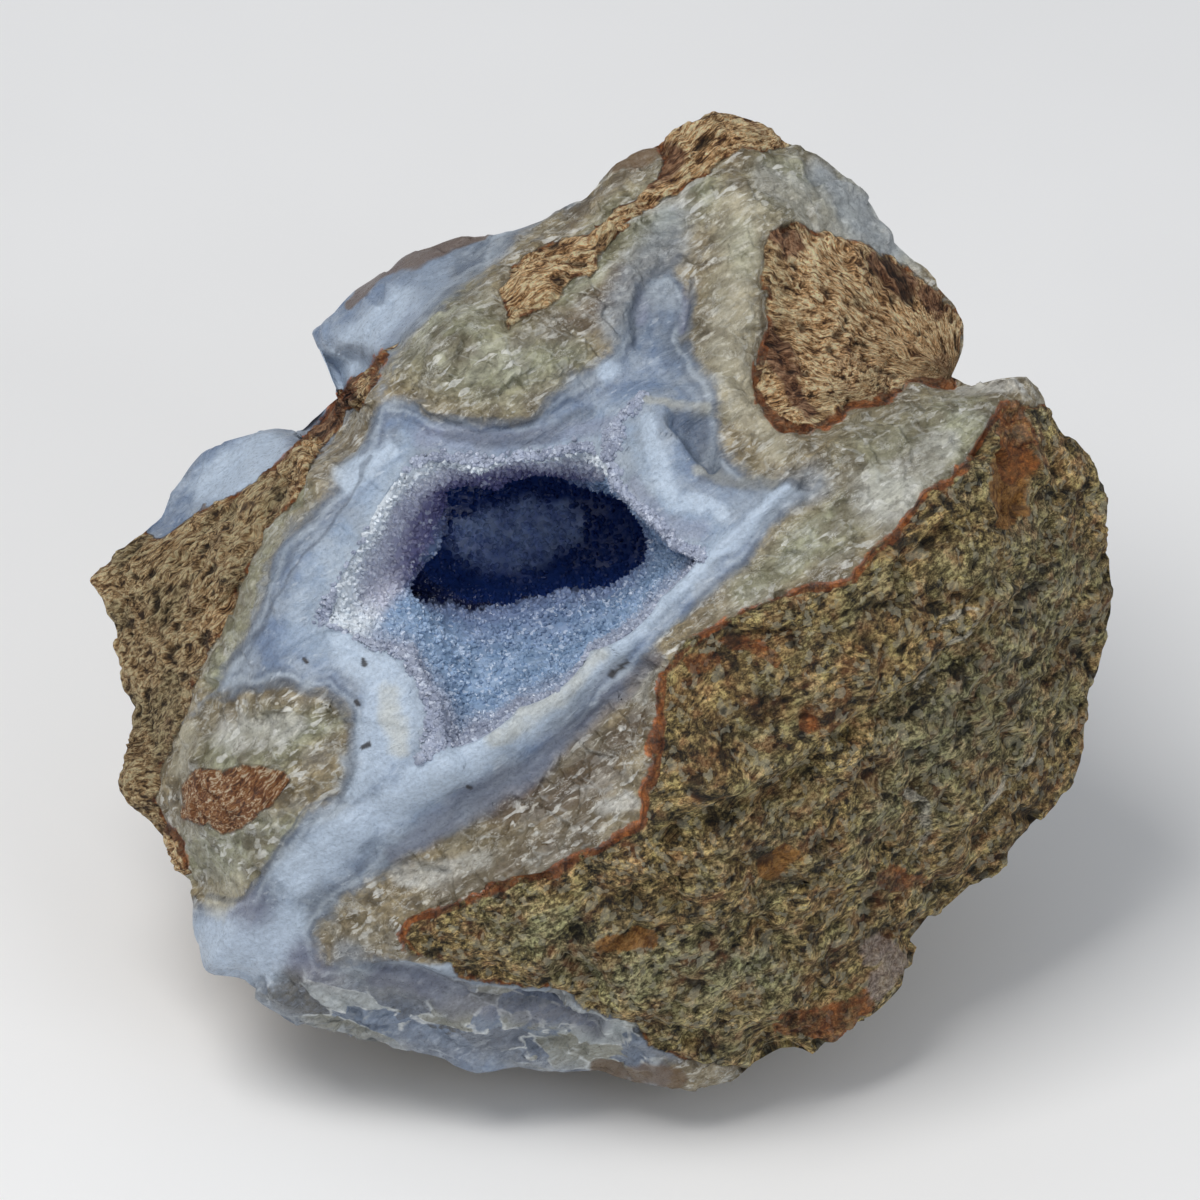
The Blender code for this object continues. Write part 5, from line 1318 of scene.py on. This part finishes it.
def druse_finish(look):
    """Quartz crystals: grey lavender at the mouth and blue further in, with painted glints in front of the
    ledge, painted shade darkening the side wall and a band before the ledge, and behind it the blue darkened
    to navy as painted shade, with a slate patch of painted light on the back wall's bulge.
    """
    f = Finish("druse")
    ring = f.mark("ring")
    tone = f.noise(2.6, 4)
    drift = tone - 0.5
    each = f.flakes(0.55)
    # navy: the crystals' blue darkened behind the ledge as painted shade, darkest just behind it
    navy = f.tones(ring + drift, 3, 4.6, (0.07, 0.09, 0.2), (0.11, 0.17, 0.38), (0.18, 0.3, 0.6))
    # slate: painted light, a paler patch where the back wall's bulge is lit
    slate = f.tones(tone, 0.35, 0.65, (0.56, 0.66, 0.9), (0.72, 0.82, 1))
    colour = f.layers(
        f.tones(tone, 0.35, 0.65, (0.57, 0.6, 0.68), (0.68, 0.71, 0.78)),
        (f.step(ring + drift, 0.1, 1.2), f.tones(tone, 0.35, 0.65, (0.51, 0.61, 0.73), look.druse)),
        # pale grey lavender at the mouth, darkening to violet deeper in: painted shade under the upper rim
        # and on the left wall
        (f.zone("purple_shade", 0.5 * drift, 0.2, 0.8),
         f.tones(ring + 0.6 * drift, 0.6, 2.9, (0.84, 0.87, 0.9), (0.8, 0.81, 0.87), (0.4, 0.36, 0.57))),
        # painted shade: a darker violet-blue band on the floor just before the ledge
        (f.step(ring + 0.8 * drift, 1.9, 3) * 0.6, (0.33, 0.36, 0.54)),
        # behind the ledge: navy painted shade, with the slate patch of painted light
        (f.step(ring + 0.3 * drift, 2.95, 3.2), f.blend(f.zone("slate", 0.5 * drift, 0.1, 0.9), navy, slate)),
    )
    # painted glints: pale flecks on the crystals in front of the ledge, none in the shaded pocket
    painted_glints = f.step(each, 0.79, 0.82) * (1 - f.step(ring, 2.6, 3.2))
    colour = f.layers(f.shaded(colour, 0.3, each, 0.2, 0.8, 0.6, 1.4), (painted_glints * 0.4, (0.9, 0.93, 0.97)))
    return f.set(Base_Color=colour, Roughness=0.25, Normal=f.bump(0.25 * each + 0.1 * f.noise(0.4, 2)))

# The kinds of pieces: their material and what makes it, the node that they take the place of, and their slot.
STONE = ("agate_and_rock", stone_finish, "geode_stone", "rock_and_agate")
DRUSE = ("druse", druse_finish, "druzy_crust", "druzy_quartz")


def grow_crystals(points, normals, radius, height, lean, seed):
    """Six-sided prisms with pointed tips on the given spots: base, shoulder and tip round a leaning axis."""
    rng = np.random.default_rng(seed)
    count = len(points)
    axis = normals + rng.normal(0, lean, (count, 3))
    axis /= np.linalg.norm(axis, axis=1, keepdims=True)
    helper = np.cross(axis, rng.normal(size=(count, 3)))
    side = helper / np.linalg.norm(helper, axis=1, keepdims=True)
    other = np.cross(axis, side)
    size = rng.uniform(*radius, count)[:, None, None]
    tall = rng.uniform(*height, count)[:, None, None]
    step = np.arange(CRYSTAL_SIDES)
    turn = step * math.tau / CRYSTAL_SIDES
    ring = side[:, None] * np.cos(turn)[None, :, None] + other[:, None] * np.sin(turn)[None, :, None]
    base = points[:, None] + ring * size - axis[:, None] * CRYSTAL_ROOT
    shoulder = points[:, None] + ring * size * SHOULDER_WIDTH + axis[:, None] * tall * SHOULDER_HEIGHT
    tip = points[:, None] + axis[:, None] * tall + rng.normal(0, TIP_STRAY, (count, 1, 3))
    verts = np.concatenate([base, shoulder, tip], axis=1)
    first = (np.arange(count) * CRYSTAL_POINTS)[:, None, None]
    following = (step + 1) % CRYSTAL_SIDES
    upper = step + CRYSTAL_SIDES
    walls = np.stack([step, following, following + CRYSTAL_SIDES, upper], axis=1)[None] + first
    peak = np.full(CRYSTAL_SIDES, CRYSTAL_POINTS - 1)
    tips = np.stack([upper, following + CRYSTAL_SIDES, peak], axis=1)[None] + first
    return verts.reshape(-1, 3), [walls.reshape(-1, 4), tips.reshape(-1, 3)]


def scatter(grid, count, seed, weight=1):
    """Spots spread evenly over a grid's area: a cell is drawn by its area, then a place inside it. Returns
    the spots, their normals, and for each its row and column."""
    rng = np.random.default_rng(seed)
    across = np.roll(grid, -1, axis=1)[:-1] - grid[:-1]
    down = grid[1:] - grid[:-1]
    area = np.linalg.norm(np.cross(across, down), axis=2) * weight
    chance = np.cumsum(area.ravel())
    cell = np.searchsorted(chance, rng.uniform(0, chance[-1], count))
    row, column = np.divmod(cell, grid.shape[1])
    u = rng.uniform(0, 1, (count, 1))
    v = rng.uniform(0, 1, (count, 1))
    spots = grid[row, column] + across[row, column] * u + down[row, column] * v
    return spots, grid_normals(grid)[row, column], row, column


def count_property(name, description, default, least=2):
    """A whole number that a user can change."""
    return IntProperty(name=name, description=description, default=default, min=least)


def length_property(name, description, default):
    """A length that a user can change."""
    return FloatProperty(name=name, description=description, default=default, unit="LENGTH")


class GeodeSizes(bpy.types.PropertyGroup):
    """How finely the geode is made."""

    columns: count_property("Columns", "Columns of the face round the hollow, a multiple of three", 1380, 90)
    front_rows: count_property("Face rows", "Rows from the mouth out to the outline", 181)
    back_rows: count_property("Back rows", "Rows from the outline to the back's pole", 170)
    hollow_rows: count_property("Hollow rows", "Rows from the mouth to its depth", 60)
    crystals: count_property("Crystals", "Quartz crystals on the hollow's wall", 9500)
    rim_crystals: count_property("Rim crystals", "Crystals round the mouth's edge", 3000)
    crystal_radius: length_property("Crystal radius", "Largest half width of a crystal", 0.00042)
    crystal_height: length_property("Crystal height", "Length of the longest crystal", 0.00065)


def colour_property(name, description, *colour):
    """A colour that a user can change, given as it looks on screen."""
    return FloatVectorProperty(
        name=name, description=description, subtype="COLOR", size=3, min=0, max=1, default=linear(*colour)
    )


class GeodeColours(bpy.types.PropertyGroup):
    """The colours that a user would change."""

    blue: colour_property("Agate blue", "The deeper blue of the agate", 0.44, 0.51, 0.62)
    quartz: colour_property("Quartz", "The paler quartz between the agate and the rock", 0.64, 0.58, 0.45)
    basalt: colour_property("Basalt", "The lighter grains of the basalt", 0.61, 0.51, 0.32)
    brown: colour_property("Brown rock", "The fibres of the brown rock", 0.9, 0.72, 0.51)
    rust: colour_property("Rust", "The brightest rust", 0.74, 0.42, 0.18)
    druse: colour_property("Druse", "The blue of the crystals", 0.64, 0.73, 0.84)


class GEODE_OT_face(bpy.types.Operator):
    """Make the broken face in three rings round the mouth"""

    bl_idname = "geode.face"
    bl_label = "Broken face"

    def execute(self, context):
        form = form_for(context)
        normals = grid_normals(form.front)
        count = inner_rows(form)
        faces = [grid_corners(count + 1, form.front.shape[1])]
        for number, name in enumerate(FACE_RINGS):
            rows = slice(number * count, (number + 1) * count + 1)
            marks = {mark: values[rows] for mark, values in form.front_marks.items()}
            points, directions = (grid[rows].reshape(-1, 3) for grid in (form.front, normals))
            finish_piece(make_mesh(name, points, faces, marks, directions), STONE, context)
        return {"FINISHED"}


class GEODE_OT_back(bpy.types.Operator):
    """Make the rough back, from the outline round to behind the hollow"""

    bl_idname = "geode.back"
    bl_label = "Back"

    def execute(self, context):
        form = form_for(context)
        finish_piece(closed_mesh("back", form.back, form.back_marks), STONE, context)
        return {"FINISHED"}


class GEODE_OT_hollow(bpy.types.Operator):
    """Make the hollow's wall"""

    bl_idname = "geode.hollow"
    bl_label = "Hollow"

    def execute(self, context):
        form = form_for(context)
        finish_piece(closed_mesh("hollow_wall", form.hollow, form.hollow_marks, inward=True), DRUSE, context)
        return {"FINISHED"}


class GEODE_OT_crystals(bpy.types.Operator):
    """Grow the quartz crystals on the hollow's wall and round the mouth's edge"""

    bl_idname = "geode.crystals"
    bl_label = "Crystals"

    def execute(self, context):
        sizes = context.scene.geode_sizes
        form = form_for(context)
        radius = sizes.crystal_radius / MM
        height = sizes.crystal_height / MM
        spots, normal, row, column = scatter(form.hollow, sizes.crystals, 5)
        widths = (0.45 * radius, radius)
        points, faces = grow_crystals(spots, -normal, widths, (0.35 * height, height), 0.35, 6)
        marks = {
            name: np.repeat(mark[row, column], CRYSTAL_POINTS) for name, mark in form.hollow_marks.items()
        }
        finish_piece(make_mesh("hollow_crystals", points, faces, marks), DRUSE, context)

        count = inner_rows(form)
        weight = form.front_marks["druse"][: count - 1] ** 2
        spots, normal, _, _ = scatter(form.front[:count], sizes.rim_crystals, 7, weight)
        widths = (0.4 * radius, 0.9 * radius)
        points, faces = grow_crystals(spots, normal, widths, (0.2 * height, 0.8 * height), 0.45, 8)
        marks = {name: np.zeros(len(points)) for name in form.hollow_marks}
        finish_piece(make_mesh("rim_crystals", points, faces, marks), DRUSE, context)
        return {"FINISHED"}


class GEODE_OT_stage(bpy.types.Operator):
    """Make the floor, the soft lights and the camera"""

    bl_idname = "geode.stage"
    bl_label = "Stage"

    def execute(self, context):
        mesh = bpy.data.meshes.new("floor")
        corners = [(x * FLOOR_REACH, y * FLOOR_REACH, 0) for x, y in ((-1, -1), (1, -1), (1, 1), (-1, 1))]
        mesh.from_pydata(corners, [], [(0, 1, 2, 3)])
        floor = placed("floor", mesh)
        paper = Finish("paper")
        pale = paper.blend(paper.noise(40, 2), [0.86] * 3, [0.9] * 3)
        mesh.materials.append(paper.set(Base_Color=pale, Roughness=0.9))
        world = bpy.data.worlds.new("studio")
        world.use_nodes = True
        background = world.node_tree.nodes["Background"]
        background.inputs["Color"].default_value = (0.9, 0.94, 1, 1)
        background.inputs["Strength"].default_value = 0.42
        context.scene.world = world
        context.scene.view_settings.view_transform = "Standard"
        add_light("key", (-0.25, -0.2, 0.8), 0.4, 4.2, (1, 0.98, 0.95))
        add_light("fill", (0.6, -0.7, 0.5), 0.5, 1.8, (0.95, 0.97, 1))
        add_camera()
        return {"FINISHED"}


def add_light(name, place, size, power, colour):
    """A square soft light that looks at the stone."""
    data = bpy.data.lights.new(name, "AREA")
    data.size = size
    data.energy = power
    data.color = colour
    lamp = placed(name, data)
    lamp.location = place
    lamp.rotation_euler = (Vector(LIGHT_AIM) - Vector(place)).to_track_quat("-Z", "Y").to_euler()


def add_camera():
    """A long lens square on to the broken face."""
    data = bpy.data.cameras.new("camera")
    data.sensor_width = SENSOR
    data.lens = SENSOR * CAMERA_DISTANCE / VIEW_WIDTH
    data.clip_end = CAMERA_REACH
    camera = placed("camera", data)
    back = Vector((0, -math.cos(FACE_RISE), math.sin(FACE_RISE)))
    up = Vector((0, math.sin(FACE_RISE), math.cos(FACE_RISE)))
    centre = Vector((-BASE_MIDDLE[0] * MM, -BASE_MIDDLE[1] * MM, BASE_DROP * MM))
    camera.matrix_world = Matrix((Vector((1, 0, 0)), up, back)).transposed().to_4x4()
    camera.location = centre + back * CAMERA_DISTANCE
    bpy.context.scene.camera = camera


class GEODE_PT_panel(bpy.types.Panel):
    """Lists the geode's sizes, colours and pieces"""

    bl_label = "Geode"
    bl_space_type = "VIEW_3D"
    bl_region_type = "UI"
    bl_category = "Geode"

    def draw(self, context):
        layout = self.layout
        for group in (context.scene.geode_sizes, context.scene.geode_colours):
            for name in group.__annotations__:
                layout.prop(group, name)
        for operator in OPERATORS:
            layout.operator(operator.bl_idname)


OPERATORS = (GEODE_OT_face, GEODE_OT_back, GEODE_OT_hollow, GEODE_OT_crystals, GEODE_OT_stage)
CLASSES = (GeodeSizes, GeodeColours, *OPERATORS, GEODE_PT_panel)


def register():
    for cls in CLASSES:
        bpy.utils.register_class(cls)
    bpy.types.Scene.geode_sizes = PointerProperty(type=GeodeSizes)
    bpy.types.Scene.geode_colours = PointerProperty(type=GeodeColours)


def unregister():
    del bpy.types.Scene.geode_colours
    del bpy.types.Scene.geode_sizes
    for cls in reversed(CLASSES):
        bpy.utils.unregister_class(cls)


def main():
    register()
    bpy.ops.geode.face()
    bpy.ops.geode.back()
    bpy.ops.geode.hollow()
    bpy.ops.geode.crystals()
    bpy.ops.geode.stage()


if __name__ == "__main__":
    main()
